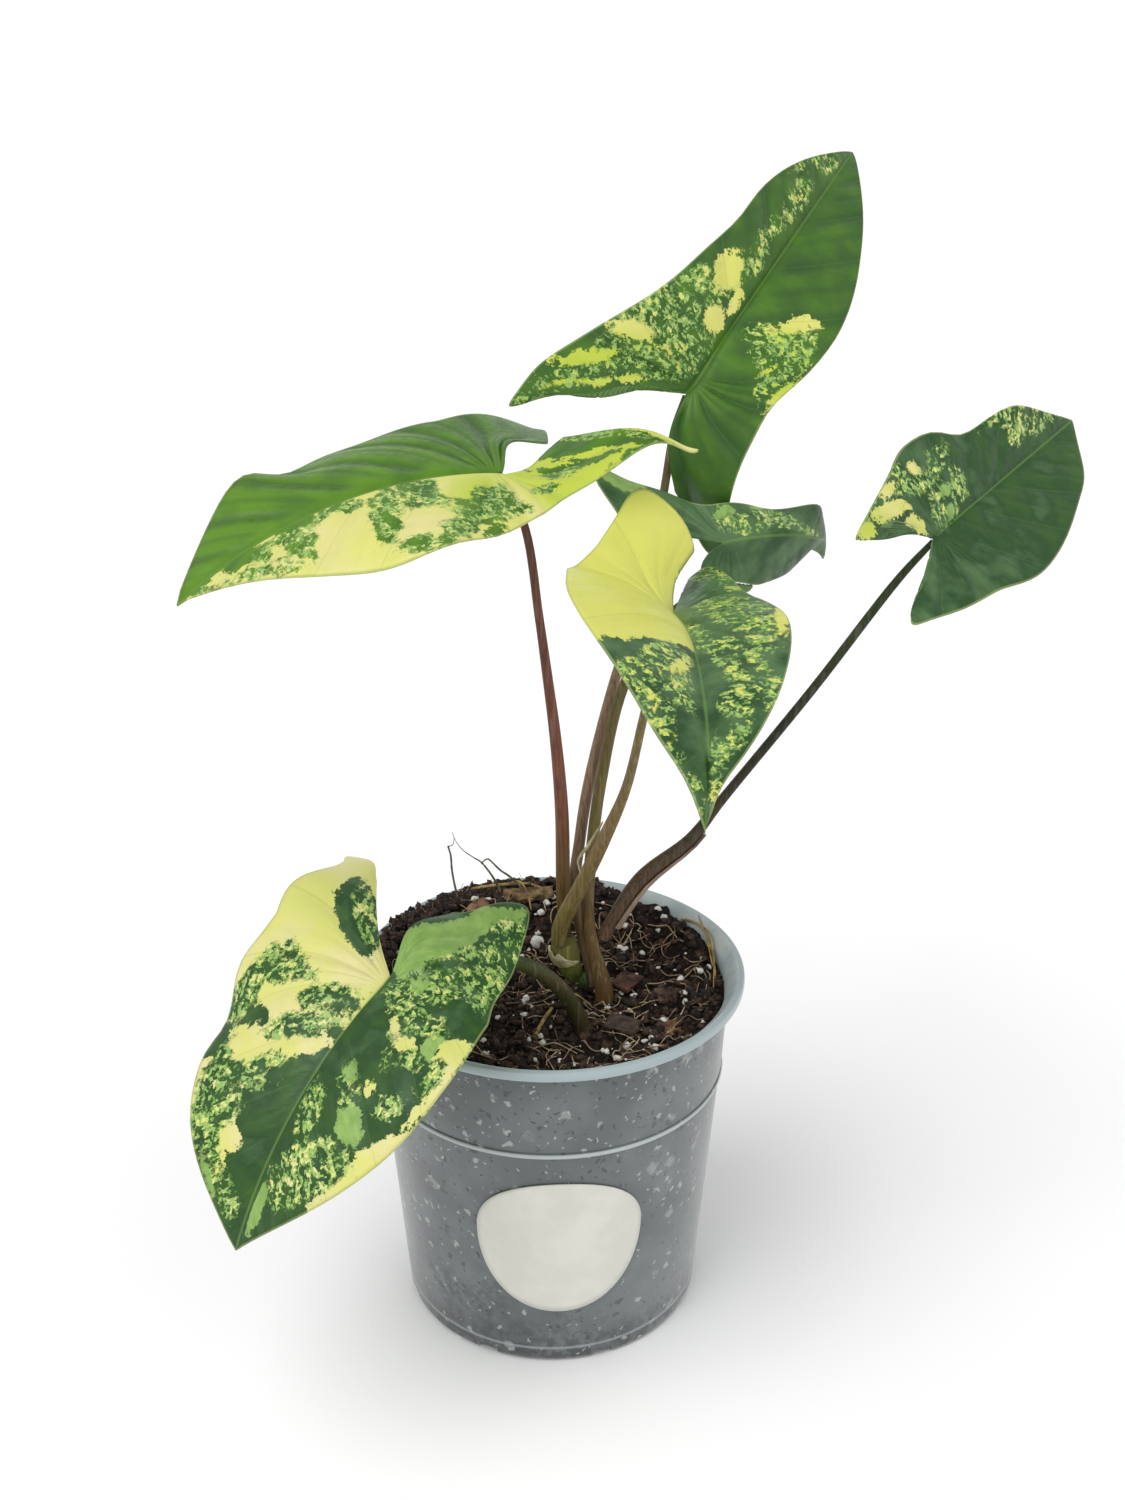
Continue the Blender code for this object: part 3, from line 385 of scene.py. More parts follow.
STALK_TINTS = {
    "left": [(0.13, 0.12, 0.025), (0.22, 0.085, 0.052), (0.17, 0.064, 0.042), (0.105, 0.050, 0.032)],
    "top": [(0.20, 0.13, 0.07), (0.33, 0.215, 0.145), (0.26, 0.17, 0.10), (0.10, 0.085, 0.035)],
    "right": [(0.20, 0.115, 0.075), (0.065, 0.052, 0.028), (0.030, 0.030, 0.016), (0.036, 0.052, 0.014)],
    "front": [(0.20, 0.17, 0.045), (0.22, 0.155, 0.062), (0.19, 0.135, 0.06), (0.16, 0.16, 0.05)],
    "back": [(0.14, 0.075, 0.028), (0.16, 0.125, 0.04), (0.14, 0.11, 0.04), (0.10, 0.11, 0.03)],
    "low": [(0.055, 0.040, 0.018), (0.040, 0.050, 0.014), (0.075, 0.055, 0.024), (0.05, 0.08, 0.025)],
}

# Bark: middle, size, turn, and dark and light colours.
BARK_CHIPS = {
    "ribbed": ((39, -17), (9.0, 8.0, 1.8), 20, (0.06, 0.025, 0.010), (0.34, 0.17, 0.07)),
    "red": ((24, 10), (8.0, 10.0, 1.6), -35, (0.020, 0.009, 0.006), (0.15, 0.060, 0.038)),
    "dark": ((22, -16), (9.0, 11.0, 1.5), 70, (0.015, 0.010, 0.008), (0.09, 0.055, 0.04)),
    "side": ((38, 1), (11.0, 8.0, 1.6), 15, (0.02, 0.011, 0.008), (0.12, 0.065, 0.045)),
    "back": ((-8, 46), (18.0, 6.0, 2.0), 8, (0.05, 0.030, 0.012), (0.27, 0.17, 0.07)),
    "left": ((-24, 38), (8.0, 6.0, 1.6), 40, (0.08, 0.04, 0.02), (0.30, 0.17, 0.09)),
}

# Each leaf's green at its stalk and its tip, from a grey green of painted sheen at 0, through dark at
# 0.2 to bright at 1, how deep its veins lie and how dark the painted shade in their furrows is, and
# how golden its cream is.
SHADES = {"left": (0.78, 1.0, 1.7, 0.25), "top": (0.62, 0.56, 2.0, 0.6), "right": (0.16, 0.34, 1.1, 0.4),
          "front": (0.02, 0.14, 0.8, 0.85), "back": (0.0, 0.16, 0.8, 0.3), "low": (0.20, 0.32, 0.9, 0.1)}

# The white grains large enough to pick out: (x, y, radius).
BIG_GRAINS = [
    (-4.7, 25.4, 2.6), (-3.5, 36.1, 1.5), (0.4, 45.7, 1.2), (-25.4, 43, 1.4), (-21.2, 44, 1.2),
    (-17.9, 47, 1.1), (22.5, 28.9, 1.4), (24.4, 36.1, 1.2), (35.4, 38, 1.1), (37.0, 34, 1.2),
    (46.7, 8.0, 1.4), (50.0, 9.2, 1.2), (19.7, -32.5, 1.4), (28.4, -23.9, 1.2), (-2.3, -24.5, 1.2),
    (2.9, -35.7, 1.2), (6.7, -37.3, 1.1), (-8.3, -7.0, 1.1), (-11.0, -11.6, 0.9),
    (-19.7, -30.9, 1.2), (-5.9, -2.9, 0.9),
]

# Soft studio lights: the direction that each one comes from, its softness in degrees and its power.
STUDIO_LIGHTS = (
    ("key", (-0.45, -0.40, 1.0), 45.0, 1.7),
    ("fill", (0.9, -0.6, 0.7), 60.0, 0.5),
)


# Shape helpers


def spline(points, steps):
    """Points along a smooth curve through the given ones, evenly stepped in each span."""
    points = np.asarray(points, float)
    ends = np.vstack([2 * points[0] - points[1], points, 2 * points[-1] - points[-2]])
    found = []
    for before, start, stop, after in zip(ends, ends[1:], ends[2:], ends[3:]):
        first, middle, last = (max(np.linalg.norm(b - a) ** 0.5, 1e-6)
                               for a, b in ((before, start), (start, stop), (stop, after)))
        leave = middle * ((start - before) / first - (stop - before) / (first + middle)
                          + (stop - start) / middle)
        arrive = middle * ((stop - start) / middle - (after - start) / (middle + last)
                           + (after - stop) / last)
        for t in np.arange(steps) / steps:
            found.append((2 * t**3 - 3 * t**2 + 1) * start + (t**3 - 2 * t**2 + t) * leave
                         + (3 * t**2 - 2 * t**3) * stop + (t**3 - t**2) * arrive)
    found.append(points[-1])
    return np.array(found)


def smoothstep(value):
    value = min(max(value, 0.0), 1.0)
    return value * value * (3 - 2 * value)


def finish_piece(name, bm, coats, slot, *nodes):
    """Makes a bmesh in millimetres into a named piece that rides with the plant."""
    bmesh.ops.scale(bm, vec=(MM, MM, MM), verts=bm.verts)
    mesh = bpy.data.meshes.new(name)
    bm.to_mesh(mesh)
    bm.free()
    for coat in coats:
        mesh.materials.append(coat)
    mesh.shade_smooth()
    piece = bpy.data.objects.new(name, mesh)
    bpy.context.scene.collection.objects.link(piece)
    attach(piece, "root")
    if nodes:
        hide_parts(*nodes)
    return piece


def tubes(name, lines, coat, nodes=(), sides=3, steps=6):
    """Round stems or fibres, each through its own (x, y, z, radius) points, as one mesh piece."""
    curve = bpy.data.curves.new(name, "CURVE")
    curve.dimensions = "3D"
    curve.bevel_depth = MM
    curve.bevel_resolution = sides
    curve.use_fill_caps = True
    for points in lines:
        path = spline(points, steps)
        line = curve.splines.new("POLY")
        line.points.add(len(path) - 1)
        for point, (x, y, z, radius) in zip(line.points, path):
            point.co = (x * MM, y * MM, z * MM, 1.0)
            point.radius = radius
    guide = bpy.data.objects.new(name + "_guide", curve)
    bpy.context.scene.collection.objects.link(guide)
    mesh = bpy.data.meshes.new_from_object(guide.evaluated_get(bpy.context.evaluated_depsgraph_get()))
    bpy.data.objects.remove(guide)
    bpy.data.curves.remove(curve)
    mesh.name = name
    mesh.materials.clear()
    mesh.materials.append(coat)
    mesh.shade_smooth()
    piece = bpy.data.objects.new(name, mesh)
    bpy.context.scene.collection.objects.link(piece)
    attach(piece, "root")
    if nodes:
        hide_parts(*nodes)
    return piece


# Materials


class Coat:
    """One procedural material, built round its Principled shader."""

    def __init__(self, name, roughness=0.5, subsurface=0.0):
        self.material = bpy.data.materials.new(name)
        self.material.use_nodes = True
        self.tree = self.material.node_tree
        self.shader = self.tree.nodes["Principled BSDF"]
        self.shader.inputs["Roughness"].default_value = roughness
        if subsurface:
            self.shader.inputs["Subsurface Weight"].default_value = subsurface
            self.shader.inputs["Subsurface Scale"].default_value = 0.002

    def node(self, kind, **settings):
        made = self.tree.nodes.new(kind)
        for key, value in settings.items():
            setattr(made, key, value)
        return made

    def put(self, socket, value):
        if isinstance(value, bpy.types.NodeSocket):
            self.tree.links.new(value, socket)
        elif socket.type == "RGBA":
            socket.default_value = (*value[:3], 1.0)
        else:
            socket.default_value = value

    def place(self):
        """Object coordinates, in metres."""
        return self.node("ShaderNodeTexCoord").outputs["Object"]

    def attribute(self, name, output="Vector"):
        return self.node("ShaderNodeAttribute", attribute_name=name).outputs[output]

    def parts(self, vector):
        split = self.node("ShaderNodeSeparateXYZ")
        self.put(split.inputs[0], vector)
        return split.outputs

    def stretch(self, vector, scale):
        mapping = self.node("ShaderNodeMapping")
        self.put(mapping.inputs["Vector"], vector)
        self.put(mapping.inputs["Scale"], scale)
        return mapping.outputs[0]

    def noise(self, vector, scale, detail=3.0, roughness=0.5, distortion=0.0):
        made = self.node("ShaderNodeTexNoise")
        self.put(made.inputs["Vector"], vector)
        self.put(made.inputs["Scale"], scale)
        self.put(made.inputs["Detail"], detail)
        self.put(made.inputs["Roughness"], roughness)
        self.put(made.inputs["Distortion"], distortion)
        return made.outputs[0]

    def cells(self, vector, scale, output="Distance", feature="F1"):
        made = self.node("ShaderNodeTexVoronoi", feature=feature)
        self.put(made.inputs["Vector"], vector)
        self.put(made.inputs["Scale"], scale)
        return made.outputs[output]

    def warp(self, vector, scale, amount):
        """The place pushed about by noise, so that patterns on it lose their straight edges."""
        swirl = self.node("ShaderNodeTexNoise")
        self.put(swirl.inputs["Vector"], vector)
        self.put(swirl.inputs["Scale"], scale)
        made = self.node("ShaderNodeVectorMath", operation="MULTIPLY_ADD")
        for socket, value in zip(made.inputs, (swirl.outputs[1], (amount,) * 3, vector)):
            self.put(socket, value)
        return made.outputs[0]

    def maths(self, operation, first, second=0.0):
        made = self.node("ShaderNodeMath", operation=operation)
        self.put(made.inputs[0], first)
        self.put(made.inputs[1], second)
        return made.outputs[0]

    def window(self, value, low, high, start=0.0, stop=1.0):
        """A smooth rise from start to stop while value goes from low to high."""
        made = self.node("ShaderNodeMapRange", interpolation_type="SMOOTHSTEP")
        for socket, number in zip(made.inputs, (value, low, high, start, stop)):
            self.put(socket, number)
        return made.outputs[0]

    def blend(self, factor, first, second, blend_type="MIX"):
        made = self.node("ShaderNodeMix", data_type="RGBA", blend_type=blend_type)
        self.put(made.inputs[0], factor)
        self.put(made.inputs[6], first)
        self.put(made.inputs[7], second)
        return made.outputs[2]

    def ramp(self, value, stops):
        made = self.node("ShaderNodeValToRGB")
        self.put(made.inputs[0], value)
        points = made.color_ramp.elements
        while len(points) < len(stops):
            points.new(1.0)
        for point, (position, colour) in zip(points, stops):
            point.position = position
            point.color = (*colour, 1.0)
        return made.outputs[0]

    def bump(self, height, strength, distance):
        made = self.node("ShaderNodeBump")
        self.put(made.inputs["Strength"], strength)
        self.put(made.inputs["Distance"], distance)
        self.put(made.inputs["Height"], height)
        self.put(self.shader.inputs["Normal"], made.outputs[0])

    def colour(self, value):
        self.put(self.shader.inputs["Base Color"], value)
        return self

    def roughness(self, value):
        self.put(self.shader.inputs["Roughness"], value)


def leaf_coat(name, under):
    """Leaf skin. Signed distances in millimetres say where a leaf is cream, pale green or mottled; its
    furrows carry painted shade and its greyest green is a painted sheen.
    """
    look = bpy.context.scene.plant_leaves
    coat = Coat(name, 0.42)
    coat.shader.inputs["Specular IOR Level"].default_value = 0.3
    plan = coat.attribute("plan")
    veins = coat.parts(coat.attribute("veins"))
    tone, crease, gold = coat.parts(coat.attribute("shade"))
    ragged = coat.maths("SUBTRACT", coat.noise(plan, 2.2, 5.0, 0.66), 0.5)
    fine = coat.maths("SUBTRACT", coat.noise(plan, 12.0, 2.0, 0.6), 0.5)
    edge = coat.maths("ADD", coat.maths("MULTIPLY", ragged, 8.0), coat.maths("MULTIPLY", fine, 2.4))

    def region(kind, soft):
        return coat.window(coat.maths("ADD", coat.attribute(kind, "Fac"), edge), -soft, soft)

    streaks = coat.stretch(coat.attribute("veins"), (2.2, 0.7, 0.0))
    streaky = coat.noise(streaks, 2.0, 4.0, 0.6)
    cloud = coat.noise(plan, 0.8, 4.0)
    tone = coat.maths("ADD", tone, coat.window(cloud, 0.3, 0.7, -0.14, 0.14))
    off_rib = coat.window(veins[2], 1.0, 6.0)
    vein = coat.maths("PINGPONG", veins[0], 0.5)
    minor = coat.maths("PINGPONG", coat.maths("MULTIPLY", veins[0], 2.0), 0.5)
    furrow = coat.maths("MULTIPLY", coat.window(vein, 0.24, 0.0), off_rib)
    shallow = coat.maths("MULTIPLY", coat.window(minor, 0.3, 0.0, 0.0, 0.5), off_rib)
    furrow = coat.maths("MULTIPLY", coat.maths("MAXIMUM", furrow, shallow), crease)
    line = coat.maths("MULTIPLY", coat.window(vein, 0.03, 0.0), off_rib)
    # The grey green at the bottom of this ramp is a painted sheen, worn mostly by the front and back leaves.
    green = coat.ramp(tone, [(0.0, look.painted_sheen_green), (0.2, look.dark_green), (0.6, look.mid_green),
                             (1.0, look.bright_green)])
    green = coat.blend(coat.window(streaky, 0.48, 0.75, 0.0, 0.14), green, look.light_green)
    # Painted shade: the vein furrows are darkened towards the dark green, on top of their relief and bump.
    green = coat.blend(coat.maths("MULTIPLY", furrow, 0.30), green, look.dark_green)
    green = coat.blend(coat.maths("MULTIPLY", line, 0.12), green, look.vein)
    light = coat.blend(coat.window(streaky, 0.35, 0.7, 0.35, 0.95), look.light_green, look.pale_green)
    light = coat.blend(coat.maths("MULTIPLY", line, 0.3), light, look.light_green)
    skin = coat.blend(region("light", 0.2), green, light)
    chalk = coat.blend(coat.window(coat.noise(plan, 0.55, 3.0), 0.42, 0.62), look.cream, look.pale_cream)
    pale = coat.blend(gold, chalk, look.gold)
    pale = coat.blend(coat.window(coat.attribute("lime", "Fac"), -4.0, 5.0), pale, look.lime)
    pale = coat.blend(coat.window(coat.noise(plan, 1.1, 3.0), 0.45, 0.75, 0.0, 0.25), pale, look.lime)
    pale = coat.blend(coat.maths("MULTIPLY", line, 0.16), pale, look.light_green)
    skin = coat.blend(region("cream", 0.2), skin, pale)
    warped = coat.warp(plan, 4.0, 0.25)
    along = coat.warp(coat.stretch(coat.attribute("veins"), (8.0, 4.0, 0.0)), 0.9, 0.9)
    flecks = coat.maths("MULTIPLY", coat.parts(coat.cells(warped, 10.0, "Color"))[0], 0.36)
    flecks = coat.maths("ADD", flecks,
                        coat.maths("MULTIPLY", coat.parts(coat.cells(along, 1.0, "Color"))[0], 0.34))
    flecks = coat.maths("ADD", flecks, coat.maths("MULTIPLY", coat.noise(plan, 3.6, 4.0, 0.6), 0.6))
    flecks = coat.maths("ADD", flecks, coat.maths("MULTIPLY", fine, 0.3))
    marbled = coat.blend(coat.window(flecks, 0.62, 0.64), green, look.light_green)
    marbled = coat.blend(coat.window(flecks, 0.69, 0.71), marbled, look.pale_green)
    marbled = coat.blend(coat.window(flecks, 0.83, 0.85), marbled, pale)
    skin = coat.blend(region("mottle", 0.6), skin, marbled)
    rib = coat.window(veins[2], 0.6, 0.15)
    skin = coat.blend(coat.maths("MULTIPLY", rib, 0.45), skin, look.vein)
    margin = coat.window(coat.attribute("edge", "Fac"), 0.7, 0.3)
    skin = coat.blend(coat.maths("MULTIPLY", margin, 0.45), skin, look.margin)
    if under:
        skin = coat.blend(0.55, skin, look.underside)
    coat.colour(skin)
    coat.roughness(coat.window(coat.noise(plan, 6.0, 3.0), 0.3, 0.7, 0.36, 0.50))
    height = coat.maths("ADD", coat.maths("MULTIPLY", streaky, 0.5), coat.maths("MULTIPLY", cloud, 0.4))
    coat.bump(coat.maths("SUBTRACT", height, coat.maths("MULTIPLY", furrow, 0.7)), 0.5, 0.0009)
    return coat.material


def stem_coat(name, foot, tints):
    """Satin stem skin whose colour changes up its height, with fine lengthwise streaks."""
    coat = Coat(name, 0.5)
    coat.shader.inputs["Specular IOR Level"].default_value = 0.18
    place = coat.place()
    height = coat.parts(place)[2]
    low, high = foot
    tall = coat.window(height, low * MM, high * MM)
    tint = coat.ramp(tall, [(index / (len(tints) - 1), shade) for index, shade in enumerate(tints)])
    grain = coat.noise(coat.stretch(place, (1500.0, 1500.0, 24.0)), 1.0, 4.0, 0.6)
    pale = coat.noise(coat.stretch(place, (900.0, 900.0, 12.0)), 1.0, 2.0, 0.5)
    middle = tints[len(tints) // 2]
    tint = coat.blend(coat.window(grain, 0.42, 0.62, 0.0, 0.55), tint, [shade * 0.45 for shade in middle])
    tint = coat.blend(coat.window(pale, 0.55, 0.66, 0.0, 0.5), tint, [shade * 1.3 + 0.05 for shade in middle])
    coat.colour(tint)
    coat.bump(grain, 0.5, 0.0003)
    return coat.material


def pot_coat():
    """Frosted plastic with the soil's grey cast and white and dark flecks showing through it, and painted
    highlights on the raised ring and in a line near the foot.
    """
    look = bpy.context.scene.plant_pot
    coat = Coat("frosted pot plastic", 0.42)
    coat.shader.inputs["Sheen Weight"].default_value = 0.6
    coat.shader.inputs["Sheen Roughness"].default_value = 0.35
    place = coat.place()
    across, _, height = coat.parts(place)
    body = coat.blend(coat.window(coat.noise(place, 34.0, 4.0), 0.35, 0.65), look.soil_cast, look.body)
    crumbs = coat.noise(place, 330.0, 5.0, 0.72)
    lower = coat.window(height, 0.050, 0.008)
    left = coat.window(across, 0.020, -0.030, 0.25, 1.0)
    packed = coat.maths("MULTIPLY", coat.maths("MULTIPLY", lower, left),
                        coat.window(coat.noise(place, 60.0), 0.35, 0.6))
    body = coat.blend(coat.maths("MULTIPLY", packed, coat.window(crumbs, 0.44, 0.54, 0.15, 0.9)), body,
                      look.dark_fleck)
    foot = coat.window(height, 0.016, 0.003)
    body = coat.blend(coat.maths("MULTIPLY", foot, coat.window(crumbs, 0.44, 0.56, 0.2, 0.7)), body,
                      look.dark_fleck)
    bits = coat.warp(coat.warp(place, 380.0, 0.0040), 1100.0, 0.0012)
    thick = coat.window(height, 0.020, 0.095, 0.0, 0.16)
    for scale, size, chance, strength, shade in (
            (120.0, 0.30, 0.74, 0.38, look.fleck), (230.0, 0.30, 0.78, 0.65, look.fleck),
            (480.0, 0.28, 0.86, 0.75, look.fleck), (210.0, 0.26, 0.72, 0.70, look.dark_fleck),
            (420.0, 0.30, 0.74, 0.78, look.dark_fleck)):
        spot = coat.window(coat.cells(bits, scale), size, size * 0.55)
        number = coat.maths("ADD", coat.parts(coat.cells(bits, scale, "Color"))[0], thick)
        picked = coat.window(number, chance, chance + 0.03)
        body = coat.blend(coat.maths("MULTIPLY", coat.maths("MULTIPLY", spot, picked), strength), body, shade)
    # Painted highlight: a light band round the raised ring, in place of the light its top catches.
    ring = coat.maths("MULTIPLY", coat.window(height, 0.0812, 0.0817), coat.window(height, 0.0829, 0.0824))
    body = coat.blend(coat.maths("MULTIPLY", ring, 0.75), body, look.ring)
    # Painted highlight: a fainter light line near the foot, in the ring's highlight colour.
    hem_highlight = coat.maths("MULTIPLY", coat.window(height, 0.0050, 0.0054), coat.window(height, 0.0064, 0.0060))
    body = coat.blend(coat.maths("MULTIPLY", hem_highlight, 0.35), body, look.ring)
    clear = coat.window(height, 0.1085, 0.1105)
    coat.colour(coat.blend(clear, body, look.lip))
    coat.bump(coat.noise(place, 900.0, 2.0), 0.08, 0.0003)
    return coat.material


def peat_coat():
    """Crumbly peat: small clods in several browns, with painted shade in the gaps between them."""
    coat = Coat("moist peat", 0.85)
    coat.shader.inputs["Specular IOR Level"].default_value = 0.25
    place = coat.warp(coat.place(), 500.0, 0.0016)
    clod = coat.cells(place, 520.0)
    browns = coat.ramp(coat.parts(coat.cells(place, 520.0, "Color"))[0], [
        (0.0, (0.008, 0.005, 0.004)), (0.45, (0.022, 0.012, 0.008)), (0.75, (0.055, 0.028, 0.018)),
        (0.93, (0.10, 0.050, 0.030)), (1.0, (0.17, 0.10, 0.060))])
    # Painted shade: the gaps between the clods are darkened almost to black.
    gap_shade = coat.window(clod, 0.30, 0.75, 0.0, 0.85)
    grain = coat.noise(place, 1500.0, 3.0, 0.6)
    browns = coat.blend(coat.window(grain, 0.4, 0.7, 0.0, 0.5), browns, (0.010, 0.006, 0.005))
    coat.colour(coat.blend(gap_shade, browns, (0.004, 0.003, 0.002)))
    coat.bump(coat.maths("SUBTRACT", coat.maths("MULTIPLY", grain, 0.5), clod), 1.0, 0.0016)
    return coat.material


def plain_coat(name, dark, light, scale, roughness=0.8, strength=0.5, distance=0.0005, stretch=(1, 1, 1)):
    """A two-toned natural surface with bump."""
    coat = Coat(name, roughness)
    place = coat.stretch(coat.place(), stretch)
    grain = coat.noise(place, scale, 5.0, 0.65)
    coat.colour(coat.blend(coat.window(grain, 0.35, 0.68), dark, light))
    coat.bump(grain, strength, distance)
    return coat.material


# Leaves


def half_outline(length, shape, steps):
    """Flat outline of one half from the tip round the basal lobe to its inner edge.

    x runs along the midrib from the stalk, and y out from the midrib.
    """
    lobe, splay = shape["lobe"], math.radians(shape["splay"])
    lobe_tip = np.array([-lobe * math.cos(splay), lobe * math.sin(splay)])
    outward = np.array([math.sin(splay), math.cos(splay)]) * lobe
    points = [(length, 0), (0.66 * length, 0.66 * shape["width"]),
              (shape["belly"] * length, shape["width"]), (-0.10 * lobe, shape["waist"] * shape["width"])]
    if shape["pointed"]:
        points += [0.62 * lobe_tip + shape["plump"] * outward, 0.82 * lobe_tip + 0.07 * outward, lobe_tip,
                   0.84 * lobe_tip - 0.02 * outward, 0.5 * lobe_tip - shape["inner"] * outward]
    else:
        points += [0.74 * lobe_tip + shape["plump"] * outward, lobe_tip,
                   0.55 * lobe_tip - shape["inner"] * outward]
    outline = spline(points, steps)
    outline[:, 1] = np.maximum(outline[:, 1], 0.0)
    return outline


def arc(distance, turn, over):
    """How far an arc goes along and down, when it turns by turn degrees in each stretch of over."""
    rate = math.radians(turn) / over
    if abs(rate) < 1e-9:
        return distance, 0.0
    return math.sin(rate * distance) / rate, (1 - math.cos(rate * distance)) / rate


def leaf_point(leaf, side, x, out, raised):
    """Where a point of the flat leaf lies once the leaf is folded, bowed and drooped.

    The leaf's own axes are +X along the midrib, +Y to its left and +Z out of its upper face.
    """
    shape = leaf[side]
    lift = math.radians(shape["lift"])
    across, down = arc(out, shape["curl"], CURL_OVER)
    wave = math.sin(2 * math.pi * shape["waves"] * x / leaf["length"] + math.radians(shape["phase"]))
    away = across * math.cos(lift) + down * math.sin(lift)
    up = across * math.sin(lift) - down * math.cos(lift) + shape["ripple"] * (out / CURL_OVER) ** 2 * wave
    up += raised
    if x >= 0:
        forward, fall = arc(x, leaf["bow"], leaf["length"])
        turned = math.radians(leaf["bow"]) * x / leaf["length"]
        along, high = forward + up * math.sin(turned), up * math.cos(turned) - fall
        shift = leaf["sweep"] * (x / leaf["length"]) ** 2
    else:
        bent = min(-x, DROOP_OVER)
        turned = math.radians(shape["droop"]) * bent / DROOP_OVER
        backward, fall = arc(bent, shape["droop"], DROOP_OVER)
        backward += (-x - bent) * math.cos(turned)
        fall += (-x - bent) * math.sin(turned)
        along, high = -backward - up * math.sin(turned), up * math.cos(turned) - fall
        shift = -x * math.tan(math.radians(leaf["skew"]))
    return Vector((along, (away if side == "left" else -away) + shift, high))


def vein_fan(length):
    """The side veins of one half: where each leaves the midrib, and how far it leans back."""
    order = np.linspace(0, 1, 120)
    root = length * np.interp(order, (0, 0.45, 1), (0.0, 0.05, 0.97))
    lean = np.radians(np.interp(order, (0, 0.2, 0.45, 0.7, 1), (174, 126, 68, 45, 32)))
    return order, root, 1 / np.tan(lean)


def painted(kind, patches, x, out):
    """Signed distance in millimetres into a half's area of one kind, from its patches in order."""
    depth = -30.0
    for patch, along, across, half_length, half_width, turn in patches:
        angle = math.radians(turn)
        dx, dy = x - along, out - across
        u = (dx * math.cos(angle) + dy * math.sin(angle)) / half_length
        v = (dy * math.cos(angle) - dx * math.sin(angle)) / half_width
        inside = (1 - math.hypot(u, v)) * min(half_length, half_width)
        if patch == kind:
            depth = max(depth, inside)
        elif kind != "lime" and patch in ("dark", "cream", "light"):
            depth = min(depth, -inside)
    return depth


def photo_place(point):
    """Where a point in millimetres falls on the photograph in pixels, and how deep it lies."""
    tilt = math.radians(CAMERA_TILT)
    across, away, high = (value - start for value, start in zip(point, CAMERA_PLACE))
    depth = away * math.cos(tilt) - high * math.sin(tilt)
    rise = away * math.sin(tilt) + high * math.cos(tilt)
    middle_x, middle_y = PICTURE_MIDDLE
    return middle_x + FOCAL_PIXELS * across / depth, middle_y - FOCAL_PIXELS * rise / depth, depth


def leaf_turn(leaf):
    """How the whole leaf is turned: its heading, then its pitch, then its roll."""
    turn = Matrix.Rotation(math.radians(leaf["heading"]), 3, "Z")
    turn @= Matrix.Rotation(math.radians(-leaf["pitch"]), 3, "Y")
    return turn @ Matrix.Rotation(math.radians(leaf["roll"]), 3, "X")


def leaf_place(leaf, turn, side, x, out, pulls=(), raised=0.0):
    """A point of the leaf in the scene, with the pulls of its half."""
    place = Vector(leaf["seat"]) + turn @ leaf_point(leaf, side, x, out, raised)
    for along, across, pull in pulls:
        place += pull * math.exp(-((x - along) ** 2 + (out - across) ** 2) / PULL_REACH**2)
    return place


def outline_pulls(leaf, turn, side, fits):
    """Soft pulls that take a half's outline to where the photograph shows it.

    Each pull acts across the view. Pins on the midrib and half way out hold the rest still.
    """
    outline = half_outline(leaf["length"], leaf[side], FIT_STEPS)
    notch = np.linspace(1, 0.12, 40)[:, None] * outline[-1]
    edge = np.vstack([outline, notch])
    seen = np.array([photo_place(leaf_place(leaf, turn, side, *point)) for point in edge])
    tilt = math.radians(CAMERA_TILT)
    centres, moves = [], []
    for half_name, *drawn, shown_x, shown_y in fits:
        if half_name != side:
            continue
        nearest = int(np.argmin(((seen[:, :2] - drawn) ** 2).sum(axis=1)))
        scale = seen[nearest, 2] / FOCAL_PIXELS
        right, up = (shown_x - drawn[0]) * scale, (drawn[1] - shown_y) * scale
        centres.append(edge[nearest])
        moves.append((right, up * math.sin(tilt), up * math.cos(tilt)))
    if not centres:
        return []
    pins = [(np.array([x, 0.0]), 9) for x in np.linspace(0, 0.9 * leaf["length"], 7)]
    pins += [(point * 0.5, 11) for point in outline[::9]]
    for pin, clear in pins:
        if all(math.dist(pin, centre) > clear for centre in centres):
            centres.append(pin)
            moves.append((0.0, 0.0, 0.0))
    centres = np.array(centres)
    near = np.exp(-((centres[:, None] - centres[None]) ** 2).sum(axis=2) / PULL_REACH**2)
    pulls = np.linalg.solve(near + 0.02 * np.eye(len(centres)), np.array(moves))
    return [(*centre, Vector(pull)) for centre, pull in zip(centres, pulls)]


def flat_patches(leaf, turn, side, pulls, paint):
    """The patches of one half, carried over from the photograph onto the flat leaf."""
    outline = half_outline(leaf["length"], leaf[side], FIT_STEPS)
    flat = (outline[:, None] * np.linspace(0.01, 1, 45)[None, :, None]).reshape(-1, 2)
    seen = np.array([photo_place(leaf_place(leaf, turn, side, *point, pulls))[:2] for point in flat])
    patches = []
    for kind, half_name, across, down, half_length, half_width, tilt in paint:
        if half_name != side:
            continue
        if kind.startswith("flat "):
            patches.append((kind[5:], across, down, half_length, half_width, tilt))
            continue
        x, out = flat[np.argmin(((seen - (across, down)) ** 2).sum(axis=1))]
        here, along, outward = (np.array(photo_place(leaf_place(leaf, turn, side, *point, pulls))[:2])
                                for point in ((x, out), (x + 1, out), (x, out + 1)))
        angle = math.radians(tilt)
        ellipse = np.array([[math.cos(angle), -math.sin(angle)], [math.sin(angle), math.cos(angle)]])
        ellipse = ellipse @ np.diag([half_length, half_width])
        axes, sizes, _ = np.linalg.svd(np.linalg.inv(np.array([along - here, outward - here]).T) @ ellipse)
        long, wide = np.clip(sizes, 1.0, 60.0)
        patches.append((kind, x, out, long, wide, math.degrees(math.atan2(axes[1, 0], axes[0, 0]))))
    return patches


